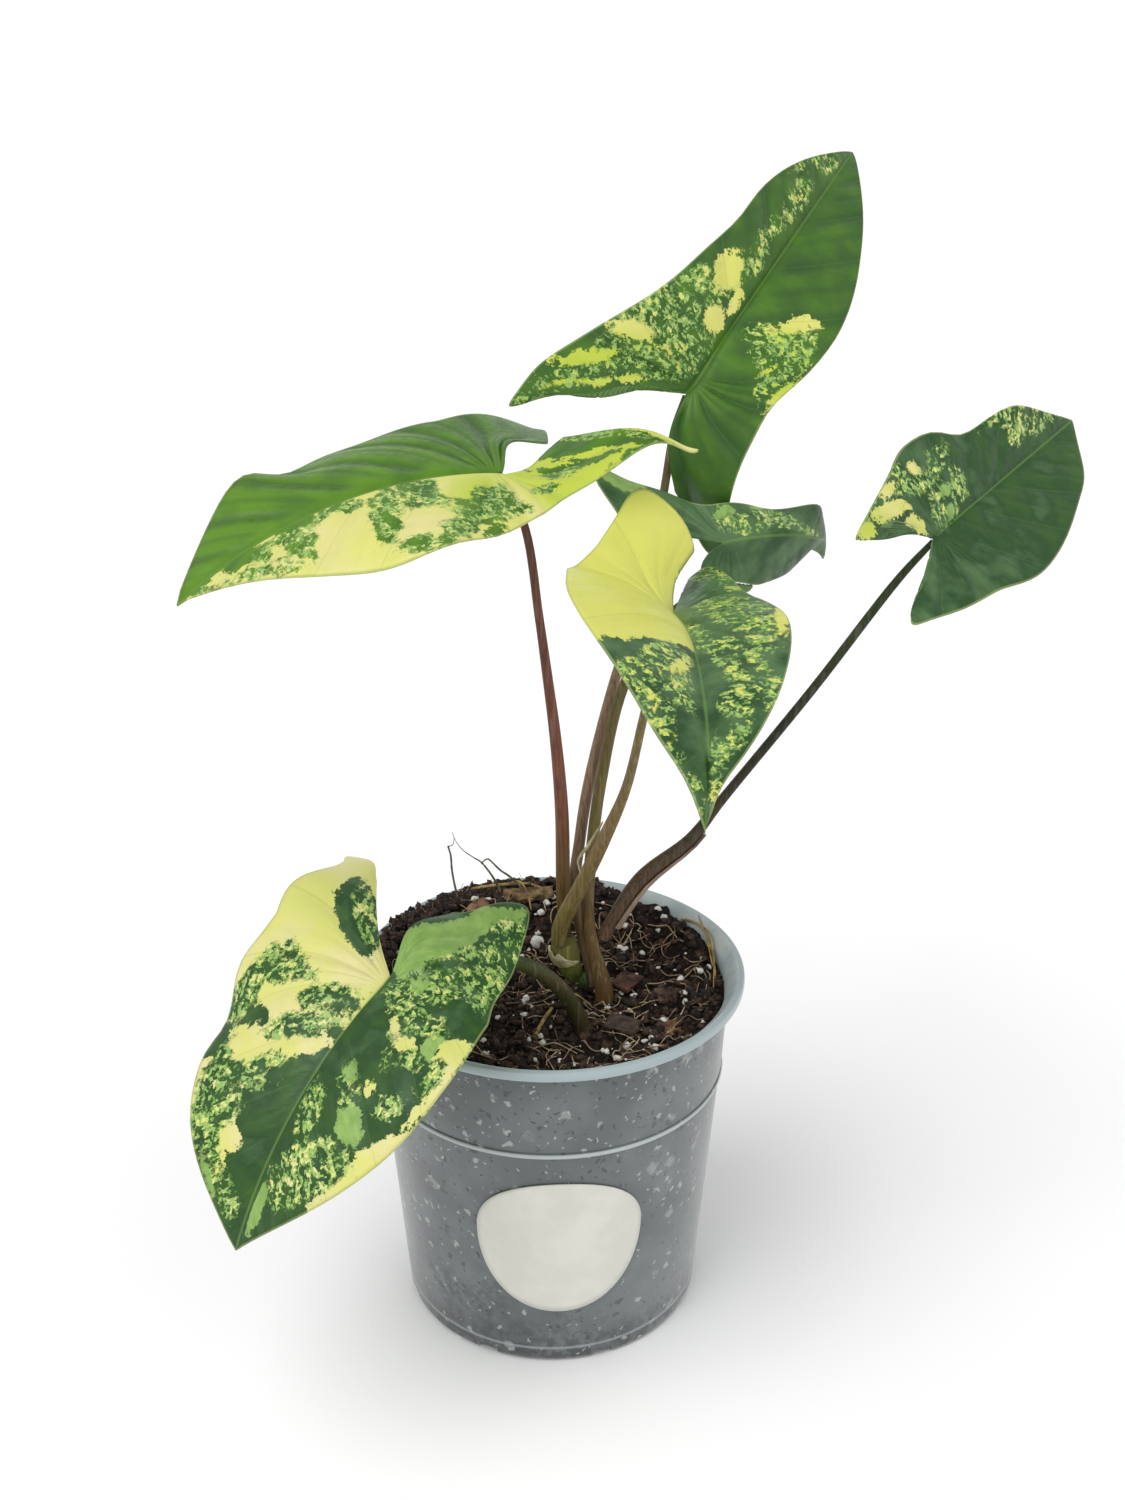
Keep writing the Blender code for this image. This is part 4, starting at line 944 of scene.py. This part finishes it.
def make_leaf(name, leaf, coats):
    look = bpy.context.scene.plant_leaves
    steps = 11
    rings = 34
    rays = [("right", *point) for point in half_outline(leaf["length"], leaf["right"], steps)[::-1]]
    rays += [("left", *point) for point in half_outline(leaf["length"], leaf["left"], steps)[1:]]
    order, root, lean = vein_fan(leaf["length"])
    bm = bmesh.new()
    bmesh.ops.create_grid(bm, x_segments=len(rays) - 1, y_segments=rings, size=0.5)
    plan = bm.verts.layers.float_vector.new("plan")
    veins = bm.verts.layers.float_vector.new("veins")
    kinds = {kind: bm.verts.layers.float.new(kind) for kind in ("cream", "light", "mottle", "lime")}
    shade, edge = bm.verts.layers.float_vector.new("shade"), bm.verts.layers.float.new("edge")
    base_tone, tip_tone, crease, gold = SHADES[name]
    relief = look.relief / MM * crease
    turn, pulls, patches = leaf_turn(leaf), {}, {}
    for side in ("left", "right"):
        pulls[side] = outline_pulls(leaf, turn, side, OUTLINE_FITS.get(name, ()))
        patches[side] = flat_patches(leaf, turn, side, pulls[side], PAINT.get(name, ()))
    for vert in bm.verts:
        side, x, out = rays[round((vert.co.x + 0.5) * (len(rays) - 1))]
        reach = vert.co.y + 0.5
        vert[edge] = (1 - reach) * math.hypot(x, out)
        x, out = x * reach, out * reach
        phase = VEINS * float(np.interp(x, root + out * lean + 0.008 * out * out, order))
        ridge = abs(math.sin(math.pi * phase)) ** 0.6
        raised = relief * (ridge - 0.6) * smoothstep(out / 9) * (1 - smoothstep((reach - 0.8) / 0.2))
        raised -= relief * 0.8 * math.exp(-(out / 1.3) ** 2)
        vert[plan] = (x / 10, out / 10 * (1 if side == "left" else -1), 0)
        vert[shade] = (float(np.interp(x, (0, leaf["length"]), (base_tone, tip_tone))), crease, gold)
        vert[veins] = (phase, math.hypot(x, out) / 10, out)
        for kind, layer in kinds.items():
            vert[layer] = painted(kind, patches[side], x, out)
        vert.co = leaf_place(leaf, turn, side, x, out, pulls[side], raised)
    bmesh.ops.remove_doubles(bm, verts=bm.verts, dist=0.001)
    bmesh.ops.recalc_face_normals(bm, faces=bm.faces)
    upward = sum((face.normal for face in bm.faces), Vector()).dot(turn @ Vector((0, 0, 1)))
    if upward < 0:
        bmesh.ops.reverse_faces(bm, faces=bm.faces)
    piece = finish_piece(f"blade_{name}", bm, coats, "leaf", f"leaf_{name}")
    shell = piece.modifiers.new("Thickness", "SOLIDIFY")
    shell.thickness = look.thickness
    shell.offset = 0.0
    shell.material_offset = 1
    return piece


# Pot


def pot_outer():
    """The pot's outer profile from the base up, as (radius, height)."""
    corner = [(BASE_RADIUS - BASE_FILLET * (1 - math.sin(math.radians(angle))),
               BASE_FILLET * (1 - math.cos(math.radians(angle)))) for angle in range(0, 91, 15)]
    ring = [(SHOULDER_RADIUS + 0.2 + RING_PROUD * math.sin(math.radians(angle)),
             SHOULDER_HEIGHT - 0.9 * math.cos(math.radians(angle))) for angle in range(0, 181, 30)]
    lip_foot = POT_HEIGHT - LIP_DEPTH
    return corner + [(SHOULDER_RADIUS, SHOULDER_HEIGHT - 1.6)] + ring + [
        (SHOULDER_RADIUS + 0.5, SHOULDER_HEIGHT + 1.8), (COLLAR_RADIUS, COLLAR_TOP - 0.4),
        (COLLAR_RADIUS + 0.7, COLLAR_TOP + 0.2),
        (LIP_RADIUS - 1.0, lip_foot - 0.1), (LIP_RADIUS - 0.25, lip_foot + 0.25), (LIP_RADIUS,
                                                                                   lip_foot + 0.9),
        (LIP_RADIUS, POT_HEIGHT - 0.9), (LIP_RADIUS - 0.25, POT_HEIGHT - 0.25), (LIP_RADIUS - 0.9,
                                                                                 POT_HEIGHT)]


def pot_inner():
    """The pot's inner profile from the lip down to the floor, as (radius, height)."""
    return [(LIP_RADIUS - 1.6, POT_HEIGHT), (LIP_RADIUS - 2.3, POT_HEIGHT - 0.3),
            (LIP_RADIUS - 2.8, POT_HEIGHT - 0.9),
            (COLLAR_RADIUS - 0.2, COLLAR_TOP + 0.9), (COLLAR_RADIUS - POT_WALL, COLLAR_TOP - 2.0),
            (SHOULDER_RADIUS + 0.5 - POT_WALL, SHOULDER_HEIGHT + 1.2),
            (SHOULDER_RADIUS - POT_WALL, SHOULDER_HEIGHT - 1.2),
            (BASE_RADIUS - POT_WALL + 0.1, BASE_FILLET + 1.0), (BASE_RADIUS - 3.2, POT_WALL)]


def radius_at(profile, height):
    ordered = sorted((z, r) for r, z in profile)
    return float(np.interp(height, [z for z, _ in ordered], [r for _, r in ordered]))


def make_pot():
    profile = [(0, 0)] + pot_outer() + pot_inner() + [(0, POT_WALL)]
    bm = bmesh.new()
    verts = [bm.verts.new((radius, 0, height)) for radius, height in profile]
    edges = [bm.edges.new(pair) for pair in zip(verts, verts[1:])]
    bmesh.ops.spin(bm, geom=verts + edges, cent=(0, 0, 0), axis=(0, 0, 1), angle=math.tau, steps=144,
                   use_merge=True, use_duplicate=False)
    bmesh.ops.remove_doubles(bm, verts=bm.verts, dist=0.001)
    bmesh.ops.recalc_face_normals(bm, faces=bm.faces)
    pot = finish_piece("nursery_pot", bm, [pot_coat()], "pot", "pot")
    cutters = bmesh.new()
    for index in range(DRAIN_SLOTS):
        matrix = Matrix.Rotation(math.radians(FIRST_SLOT_ANGLE + 360 * index / DRAIN_SLOTS), 4, "Z")
        matrix @= Matrix.Translation((BASE_RADIUS - 1.5, 0, 0)) @ Matrix.Diagonal((*DRAIN_SLOT_SIZE, 1))
        bmesh.ops.create_cube(cutters, size=1.0, matrix=matrix)
    for index in range(DRAIN_HOLES):
        matrix = Matrix.Rotation(math.tau * (index + 0.5) / DRAIN_HOLES, 4, "Z")
        matrix @= Matrix.Translation((DRAIN_HOLE_CIRCLE, 0, 0))
        bmesh.ops.create_cone(cutters, cap_ends=True, segments=32, radius1=DRAIN_HOLE_RADIUS,
                              radius2=DRAIN_HOLE_RADIUS, depth=8, matrix=matrix)
    bmesh.ops.scale(cutters, vec=(MM, MM, MM), verts=cutters.verts)
    mesh = bpy.data.meshes.new("drain_cutter")
    cutters.to_mesh(mesh)
    cutters.free()
    tool = bpy.data.objects.new("drain_cutter", mesh)
    bpy.context.scene.collection.objects.link(tool)
    step = pot.modifiers.new("Drainage", "BOOLEAN")
    step.operation = "DIFFERENCE"
    step.solver = "EXACT"
    step.object = tool
    cut = bpy.data.meshes.new_from_object(pot.evaluated_get(bpy.context.evaluated_depsgraph_get()))
    pot.modifiers.clear()
    pot.data = cut
    cut.set_sharp_from_angle(angle=math.radians(40))
    look = bpy.context.scene.plant_pot
    # The inside wall is painted lighter than the lip, as painted light that makes up for the shade inside the
    # pot.
    inside = plain_coat("frosted pot inside", look.lip, look.inside, 90.0, 0.45, 0.1)
    cut.materials.append(inside)
    for face in cut.polygons:
        middle, outward = face.center, face.normal
        if (middle.z > POT_WALL * MM / 2
                and middle.x * outward.x + middle.y * outward.y < -0.01 * middle.xy.length):
            face.material_index = 1
    bpy.data.objects.remove(tool)


def make_label():
    """A blank sticker with a rounded egg outline, bent round the front of the pot."""
    bm = bmesh.new()
    bmesh.ops.create_grid(bm, x_segments=96, y_segments=14, size=0.5)
    for vert in bm.verts:
        angle, reach = math.tau * (vert.co.x + 0.5), vert.co.y + 0.5
        power = 2 / LABEL_SQUARENESS
        across = math.copysign(abs(math.cos(angle)) ** power, math.cos(angle)) * LABEL_HALF_WIDTH * reach
        tall = LABEL_UP if math.sin(angle) > 0 else LABEL_DOWN
        height = LABEL_MIDDLE + math.copysign(abs(math.sin(angle)) ** power, math.sin(angle)) * tall * reach
        radius = radius_at(pot_outer(), height) + LABEL_GAP
        turn = math.radians(-90 + LABEL_CENTRE_ANGLE) + across / radius
        vert.co = (radius * math.cos(turn), radius * math.sin(turn), height)
    bmesh.ops.remove_doubles(bm, verts=bm.verts, dist=0.001)
    bmesh.ops.recalc_face_normals(bm, faces=bm.faces)
    coat = plain_coat("blank sticker", (0.60, 0.595, 0.54), (0.66, 0.655, 0.60), 60.0, 0.5, 0.05)
    piece = finish_piece("blank_label", bm, [coat], "label", "label")
    shell = piece.modifiers.new("Thickness", "SOLIDIFY")
    shell.thickness = 0.0003
    shell.offset = 1.0


# Soil and litter


def soil_bank(x, y):
    """The soil lies level in front, and is banked up against the back left of the pot."""
    heap = SOIL_HEAP * smoothstep((y - 2) / 48) * smoothstep((26 - x) / 26)
    return SOIL_LEVEL + heap + 0.7 * math.sin(0.21 * x + 0.6) * math.cos(0.17 * y - 0.4)


def soil_height(x, y):
    lump = 1.5 * noise.fractal(Vector((x, y, 0)) / 9, 0.8, 2.1, 4)
    crumb = 0.8 * noise.fractal(Vector((x, y, 7)) / 2.6, 0.7, 2.2, 3)
    reach, turn = math.hypot(x, y), math.degrees(math.atan2(y, x)) % 360
    rise = float(np.interp(turn, *zip(*RIM_RISE))) * smoothstep((reach - 30) / 22)
    return min(soil_bank(x, y) + rise, RIM_CREST) + lump * 0.8 + crumb


def make_soil():
    sides, rings = ((360, 96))
    inner = pot_inner()
    bm = bmesh.new()
    bmesh.ops.create_grid(bm, x_segments=sides, y_segments=rings, size=0.5)
    for vert in bm.verts:
        turn, reach = math.tau * (vert.co.x + 0.5), vert.co.y + 0.5
        x, y = SOIL_EDGE * reach * math.cos(turn), SOIL_EDGE * reach * math.sin(turn)
        clods = noise.voronoi(Vector((x, y, 0)) / 2.4)[0][0]
        height = soil_height(x, y) - 0.9 * min(clods, 0.8)
        spread = (radius_at(inner, min(height, POT_HEIGHT)) - 0.4) / SOIL_EDGE
        vert.co = (x * spread, y * spread, height)
    bmesh.ops.remove_doubles(bm, verts=bm.verts, dist=0.001)
    # The side follows the wall down through each bend of its profile.
    for level in [height for _, height in inner if SOIL_FOOT < height < POT_HEIGHT] + [SOIL_FOOT]:
        made = bmesh.ops.extrude_edge_only(bm, edges=[edge for edge in bm.edges if edge.is_boundary])
        for vert in [item for item in made["geom"] if isinstance(item, bmesh.types.BMVert)]:
            height = min(vert.co.z, level)
            shrink = (radius_at(inner, height) - 0.4) / math.hypot(vert.co.x, vert.co.y)
            vert.co = (vert.co.x * shrink, vert.co.y * shrink, height)
    bmesh.ops.remove_doubles(bm, verts=bm.verts, dist=0.001)
    bmesh.ops.holes_fill(bm, edges=[edge for edge in bm.edges if edge.is_boundary], sides=0)
    bmesh.ops.recalc_face_normals(bm, faces=bm.faces)
    finish_piece("peat_mix", bm, [peat_coat()], "soil", "soil")


def scatter(count, rng, keep=52.0):
    for _ in range(count):
        angle, reach = rng.uniform(0, math.tau), keep * math.sqrt(rng.random())
        x, y = reach * math.cos(angle), reach * math.sin(angle)
        yield x, y, soil_height(x, y)


def make_grains(name, grains, coats, jitter, seed, fineness=2):
    """Many small irregular lumps as one piece, from (x, y, z, radius)."""
    rng = random.Random(seed)
    bm = bmesh.new()
    for x, y, z, radius in grains:
        squash = Matrix.Diagonal((rng.uniform(0.8, 1.3), rng.uniform(0.6, 1.1), rng.uniform(0.5, 0.95), 1))
        spin = Matrix.Rotation(rng.uniform(0, math.tau), 4, Vector((rng.random(), rng.random(), 1)))
        matrix = Matrix.Translation((x, y, z)) @ spin @ squash
        made = bmesh.ops.create_icosphere(bm, subdivisions=fineness, radius=radius, matrix=matrix)
        coat = rng.randrange(len(coats))
        for vert in made["verts"]:
            push = noise.noise(vert.co * (1.3 / radius)) * jitter * radius
            vert.co += (vert.co - Vector((x, y, z))).normalized() * push
            for face in vert.link_faces:
                face.material_index = coat
    finish_piece(name, bm, coats, "soil")


def rim_pile(count, rng):
    """Places on and just inside the lip at the back left, where crumbs hide it."""
    for _ in range(count):
        angle, reach = math.radians(rng.triangular(66, 206, 115)), rng.uniform(50.5, 58.8)
        x, y = reach * math.cos(angle), reach * math.sin(angle)
        yield x, y, max(soil_height(x * 0.9, y * 0.9), POT_HEIGHT - 0.6) + rng.uniform(-0.6, 0.7)


def strand(rng, x, y, angle, long, radius, lift):
    """A wavering fibre that follows the soil."""
    bend = rng.uniform(-1.2, 1.2)
    line = []
    for step in np.linspace(-0.5, 0.5, 5):
        turn = angle + bend * step
        px, py = x + step * long * math.cos(turn), y + step * long * math.sin(turn)
        if math.hypot(px, py) < 51.8:
            line.append((px, py, soil_height(px, py) + rng.uniform(0.1, lift), radius))
    return line if len(line) > 2 else None


def inside_wall(x, y, height, radius):
    """A point of a strand, pulled in where it would pass into the pot's wall."""
    room = radius_at(pot_inner(), min(height, POT_HEIGHT)) - radius - 0.3
    keep = min(1.0, room / math.hypot(x, y))
    return x * keep, y * keep, height, radius


def make_litter():
    rng = random.Random(11)
    white = plain_coat("perlite", (0.58, 0.56, 0.52), (0.86, 0.85, 0.82), 900.0, 0.75, 0.6, 0.0004)
    grains = [(x, y, soil_height(x, y) + radius * 0.4, radius) for x, y, radius in BIG_GRAINS]
    for x, y, z in scatter(210, rng):
        radius = rng.choice((0.3, 0.4, 0.5, 0.6, 0.8, 1.0, 1.3))
        grains.append((x, y, z + radius * 0.2, radius))
    make_grains("perlite_grains", grains, [white], 0.6, 3)
    dark = plain_coat("black peat crumbs", (0.006, 0.004, 0.003), (0.035, 0.020, 0.014), 700.0, 0.9, 0.8,
                      0.0008)
    brown = plain_coat("brown peat crumbs", (0.012, 0.007, 0.005), (0.10, 0.050, 0.032), 700.0, 0.9, 0.8,
                       0.0008)
    clods = [(x, y, z + 0.1, rng.choice((0.5, 0.6, 0.8, 1.0, 1.4, 1.9)))
             for x, y, z in scatter(1900, rng, 53.0)]
    clods += [(x, y, z, rng.uniform(0.6, 1.7)) for x, y, z in rim_pile(760, rng)]
    make_grains("peat_crumbs", clods, [dark, brown], 0.9, 5, 1)
    fibres = []
    for x, y, z in scatter(230, rng, 50.0):
        fibres.append(strand(rng, x, y, rng.uniform(0, math.tau), rng.uniform(5, 16),
                             rng.uniform(0.10, 0.20), 1.8))
    for x, y, z in rim_pile(26, rng):
        angle = rng.uniform(0, math.tau)
        tip = (x + 2.5 * math.cos(angle), y + 2.5 * math.sin(angle), z + rng.uniform(0.6, 3.2), 0.08)
        fibres.append([(x, y, z - 0.6, 0.14), ((x + tip[0]) / 2, (y + tip[1]) / 2 + 0.4, z + 0.7, 0.12), tip])
    straw = plain_coat("root fibres", (0.20, 0.12, 0.065), (0.58, 0.44, 0.29), 200.0, 0.8, 0.2)
    tubes("root_fibres", [line for line in fibres if line], straw, (), 1, 4)
    moss = plain_coat("yellow root strands", (0.22, 0.13, 0.04), (0.50, 0.36, 0.13), 260.0, 0.8, 0.3)
    tubes("yellow_root_strands", [[inside_wall(x, y, soil_height(x, y) + lift, radius)
                                   for x, y, lift, radius in line] for line in YELLOW_ROOTS], moss,
                                   (), 2, 6)


def make_bark():
    for name, (spot, (width, depth, height), turn, dark, light) in BARK_CHIPS.items():
        bm = bmesh.new()
        bmesh.ops.create_cube(bm, size=1.0,
                              matrix=Matrix.Diagonal((width * 0.92, depth * 0.92, height * 0.7, 1)))
        bmesh.ops.subdivide_edges(bm, edges=bm.edges, cuts=13, use_grid_fill=True)
        shift = Vector((7.0 * spot[0], 0, 0))
        around = Matrix.Translation((*spot, 0)) @ Matrix.Rotation(math.radians(turn), 4, "Z")
        for vert in bm.verts:
            rib = noise.noise(Vector((vert.co.x * 1.6, vert.co.y * 0.15, 0)) + shift)
            rough = noise.fractal(vert.co * 0.5 + shift, 0.8, 2.0, 3)
            vert.co += Vector((0.5 * rough, 0.7 * rough, 0.35 * rib))
            vert.co = around @ vert.co
            vert.co.z += soil_bank(vert.co.x, vert.co.y) + height / 2 + 0.9
        bmesh.ops.recalc_face_normals(bm, faces=bm.faces)
        coat = plain_coat(f"{name} bark", dark, light, 260.0, 0.85, 0.8, 0.0008)
        finish_piece(f"split_bark_{name}", bm, [coat], "bark", f"bark_chip_{name}")


# Operators


class LeafLook(bpy.types.PropertyGroup):
    thickness: bpy.props.FloatProperty(
        name="Thickness", description="Thickness of a leaf blade", default=0.0005, unit="LENGTH")
    relief: bpy.props.FloatProperty(
        name="Vein relief", description="How deep the veins lie in a leaf", default=0.0006, unit="LENGTH")
    dark_green: bpy.props.FloatVectorProperty(
        name="Dark green", description="Darkest green of the leaves", default=(0.014, 0.058, 0.012),
        subtype="COLOR")
    # Painted sheen: a grey green that stands in for the sheen on the front and back leaves.
    painted_sheen_green: bpy.props.FloatVectorProperty(
        name="Dusky green", description="Grey green of the duller leaves", default=(0.075, 0.155, 0.058),
        subtype="COLOR")
    mid_green: bpy.props.FloatVectorProperty(
        name="Middle green", description="Lighter plain green of the leaves", default=(0.042, 0.120, 0.010),
        subtype="COLOR")
    bright_green: bpy.props.FloatVectorProperty(
        name="Bright green", description="Brightest plain green of the leaves", default=(0.092, 0.225, 0.006),
        subtype="COLOR")
    light_green: bpy.props.FloatVectorProperty(
        name="Light green", description="Green of the light patches", default=(0.135, 0.26, 0.050),
        subtype="COLOR")
    pale_green: bpy.props.FloatVectorProperty(
        name="Pale green", description="Palest green of the light patches", default=(0.28, 0.44, 0.115),
        subtype="COLOR")
    cream: bpy.props.FloatVectorProperty(
        name="Cream", description="Cream of the variegation", default=(0.62, 0.62, 0.185), subtype="COLOR")
    pale_cream: bpy.props.FloatVectorProperty(
        name="Pale cream", description="Palest cream of the variegation", default=(0.68, 0.62, 0.30),
        subtype="COLOR")
    gold: bpy.props.FloatVectorProperty(
        name="Gold", description="Yellow of the most golden leaves", default=(0.62, 0.63, 0.11),
        subtype="COLOR")
    lime: bpy.props.FloatVectorProperty(
        name="Lime", description="Lime of the variegation", default=(0.46, 0.55, 0.055), subtype="COLOR")
    vein: bpy.props.FloatVectorProperty(
        name="Veins", description="Colour of the midrib and veins", default=(0.16, 0.28, 0.06),
        subtype="COLOR")
    margin: bpy.props.FloatVectorProperty(
        name="Margin", description="Colour of the thin leaf margin", default=(0.38, 0.46, 0.16),
        subtype="COLOR")
    underside: bpy.props.FloatVectorProperty(
        name="Underside", description="Colour under the leaves", default=(0.16, 0.27, 0.09), subtype="COLOR")


class PotLook(bpy.types.PropertyGroup):
    body: bpy.props.FloatVectorProperty(
        name="Body", description="Colour of the frosted wall", default=(0.150, 0.170, 0.178), subtype="COLOR")
    soil_cast: bpy.props.FloatVectorProperty(
        name="Soil cast", description="Colour where dark soil shows through", default=(0.095, 0.108, 0.112),
        subtype="COLOR")
    lip: bpy.props.FloatVectorProperty(
        name="Lip", description="Colour of the clear lip", default=(0.34, 0.41, 0.43), subtype="COLOR")
    # Painted highlight colour for the raised ring and for the line near the foot.
    ring: bpy.props.FloatVectorProperty(
        name="Ring", description="Colour of the raised ring", default=(0.52, 0.57, 0.57), subtype="COLOR")
    # Painted light: the inside wall is lighter than the lip to make up for the shade in the pot.
    inside: bpy.props.FloatVectorProperty(
        name="Inside", description="Colour of the wall inside", default=(0.48, 0.54, 0.54), subtype="COLOR")
    fleck: bpy.props.FloatVectorProperty(
        name="White flecks", description="Perlite seen through the wall", default=(0.44, 0.47, 0.45),
        subtype="COLOR")
    dark_fleck: bpy.props.FloatVectorProperty(
        name="Dark flecks", description="Peat seen through the wall", default=(0.035, 0.040, 0.042),
        subtype="COLOR")


class StageLook(bpy.types.PropertyGroup):
    lens: bpy.props.FloatProperty(
        name="Lens", description="Focal length of the camera in millimetres", default=40.8)
    floor: bpy.props.FloatVectorProperty(
        name="Floor", description="Colour of the floor", default=(0.95, 0.95, 0.95), subtype="COLOR")
    horizon: bpy.props.FloatProperty(
        name="Horizon", description="Brightness of the light from low round the plant", default=1.05)
    dome: bpy.props.FloatProperty(
        name="Dome", description="Brightness of the light from above", default=0.6)


class PLANT_OT_leaves(bpy.types.Operator):
    """Make the leaf blades with their veins and variegation"""
    bl_idname = "plant.leaves"
    bl_label = "Leaves"

    def execute(self, context):
        coats = [leaf_coat("leaf upper face", False), leaf_coat("leaf underside", True)]
        for name, leaf in LEAVES.items():
            make_leaf(name, leaf, coats)
        return {"FINISHED"}


class PLANT_OT_stems(bpy.types.Operator):
    """Make the cane, the leaf stalks and the bud"""
    bl_idname = "plant.stems"
    bl_label = "Stems"

    def execute(self, context):
        for name, points in STALKS.items():
            coat = stem_coat(f"{name} stalk skin", (100, points[-1][2]), STALK_TINTS[name])
            tubes(f"petiole_{name}", [points], coat, (f"stalk_{name}",), 6, 8)
        coat = stem_coat("cane skin", (98, 118),
                         [(0.09, 0.11, 0.025), (0.25, 0.27, 0.055), (0.20, 0.18, 0.06)])
        tubes("green_cane", [CANE], coat, ("cane",), 6, 8)
        bud = stem_coat("bud skin", (98, 110), [(0.014, 0.030, 0.010), (0.040, 0.070, 0.022)])
        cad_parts["bud"].data.materials.clear()
        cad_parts["bud"].data.materials.append(bud)
        return {"FINISHED"}


class PLANT_OT_dry_pieces(bpy.types.Operator):
    """Finish the papery sheaths and the dry twigs"""
    bl_idname = "plant.dry_pieces"
    bl_label = "Dry pieces"

    def execute(self, context):
        brown = plain_coat("dry brown sheath", (0.14, 0.085, 0.06), (0.42, 0.30, 0.22), 120.0, 0.6, 0.4,
                           0.0004,
                           (1, 1, 0.2))
        straw = plain_coat("dry pale paper", (0.26, 0.22, 0.10), (0.60, 0.56, 0.36), 260.0, 0.6, 0.4, 0.0004)
        wiry = plain_coat("dry wiry stem", (0.07, 0.055, 0.040), (0.24, 0.20, 0.15), 500.0, 0.8, 0.4)
        for name, coat in (("stalk_sheath", brown), ("cane_cuff", straw)):
            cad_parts[name].data.materials.clear()
            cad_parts[name].data.materials.append(coat)
        for name, lines in DRY_TWIGS.items():
            tubes(f"wiry_twig_{name}", lines, wiry, (f"dry_twig_{name}",), 2, 6)
        tubes("paper_curl", [PAPER_CURL], straw, ("dry_curl",), 2, 6)
        return {"FINISHED"}


class PLANT_OT_pot(bpy.types.Operator):
    """Make the nursery pot and its blank label"""
    bl_idname = "plant.pot"
    bl_label = "Pot"

    def execute(self, context):
        make_pot()
        make_label()
        return {"FINISHED"}


class PLANT_OT_soil(bpy.types.Operator):
    """Make the soil with its perlite, crumbs, fibres and bark"""
    bl_idname = "plant.soil"
    bl_label = "Soil"

    def execute(self, context):
        make_soil()
        make_litter()
        make_bark()
        return {"FINISHED"}


class PLANT_OT_stage(bpy.types.Operator):
    """Set up the floor, the soft studio light and the camera"""
    bl_idname = "plant.stage"
    bl_label = "Stage"

    def execute(self, context):
        look = context.scene.plant_stage
        camera = bpy.data.cameras.new("camera")
        camera.lens = look.lens
        camera.sensor_width = 36.0
        viewer = bpy.data.objects.new("camera", camera)
        viewer.location = Vector(CAMERA_PLACE) * MM
        viewer.rotation_euler = (math.radians(90 - CAMERA_TILT), 0, 0)
        context.scene.collection.objects.link(viewer)
        context.scene.camera = viewer
        bm = bmesh.new()
        bmesh.ops.create_grid(bm, x_segments=1, y_segments=1, size=80.0)
        mesh = bpy.data.meshes.new("floor")
        bm.to_mesh(mesh)
        bm.free()
        coat = Coat("pale floor", 0.6)
        shade = [value * 0.99 for value in look.floor]
        coat.colour(coat.blend(coat.noise(coat.place(), 2.0), look.floor, shade))
        mesh.materials.append(coat.material)
        floor = bpy.data.objects.new("floor", mesh)
        context.scene.collection.objects.link(floor)
        for name, source, softness, power in STUDIO_LIGHTS:
            lamp = bpy.data.lights.new(name, "SUN")
            lamp.angle = math.radians(softness)
            lamp.energy = power
            light = bpy.data.objects.new(name, lamp)
            light.rotation_euler = (-Vector(source)).to_track_quat("-Z", "Y").to_euler()
            context.scene.collection.objects.link(light)
        world = bpy.data.worlds.new("studio")
        world.use_nodes = True
        tree = world.node_tree
        place = tree.nodes.new("ShaderNodeTexCoord")
        split = tree.nodes.new("ShaderNodeSeparateXYZ")
        dome = tree.nodes.new("ShaderNodeMapRange")
        tree.links.new(place.outputs["Generated"], split.inputs[0])
        tree.links.new(split.outputs[2], dome.inputs[0])
        for socket, number in zip(dome.inputs[1:5], (0.06, 0.4, look.horizon, look.dome)):
            socket.default_value = number
        sky = tree.nodes["Background"]
        sky.inputs["Color"].default_value = (1.0, 1.0, 1.0, 1.0)
        tree.links.new(dome.outputs[0], sky.inputs["Strength"])
        context.scene.world = world
        context.scene.view_settings.view_transform = "Standard"
        return {"FINISHED"}


class PLANT_PT_panel(bpy.types.Panel):
    """Shows the plant's look settings and the buttons that make its pieces in the 3D view's sidebar"""
    bl_idname = "PLANT_PT_panel"
    bl_label = "Arrowhead plant"
    bl_space_type = "VIEW_3D"
    bl_region_type = "UI"
    bl_category = "Plant"

    def draw(self, context):
        layout = self.layout
        for look, names in SHOWN_LOOKS:
            group = getattr(context.scene, look)
            for name in names:
                layout.prop(group, name)
        for operator in OPERATORS:
            layout.operator(operator.bl_idname)


OPERATORS = (PLANT_OT_stage, PLANT_OT_pot, PLANT_OT_soil, PLANT_OT_stems, PLANT_OT_dry_pieces,
             PLANT_OT_leaves)
LOOKS = {"plant_leaves": LeafLook, "plant_pot": PotLook, "plant_stage": StageLook}
SHOWN_LOOKS = [(look, tuple(group.__annotations__)) for look, group in LOOKS.items()]


def register():
    for group in (*LOOKS.values(), *OPERATORS, PLANT_PT_panel):
        bpy.utils.register_class(group)
    for look, group in LOOKS.items():
        setattr(bpy.types.Scene, look, bpy.props.PointerProperty(type=group))


def unregister():
    for look in LOOKS:
        delattr(bpy.types.Scene, look)
    for group in reversed((*LOOKS.values(), *OPERATORS, PLANT_PT_panel)):
        bpy.utils.unregister_class(group)


def main():
    register()
    bpy.ops.plant.stage()
    bpy.ops.plant.pot()
    bpy.ops.plant.soil()
    bpy.ops.plant.stems()
    bpy.ops.plant.dry_pieces()
    bpy.ops.plant.leaves()


if __name__ == "__main__":
    main()
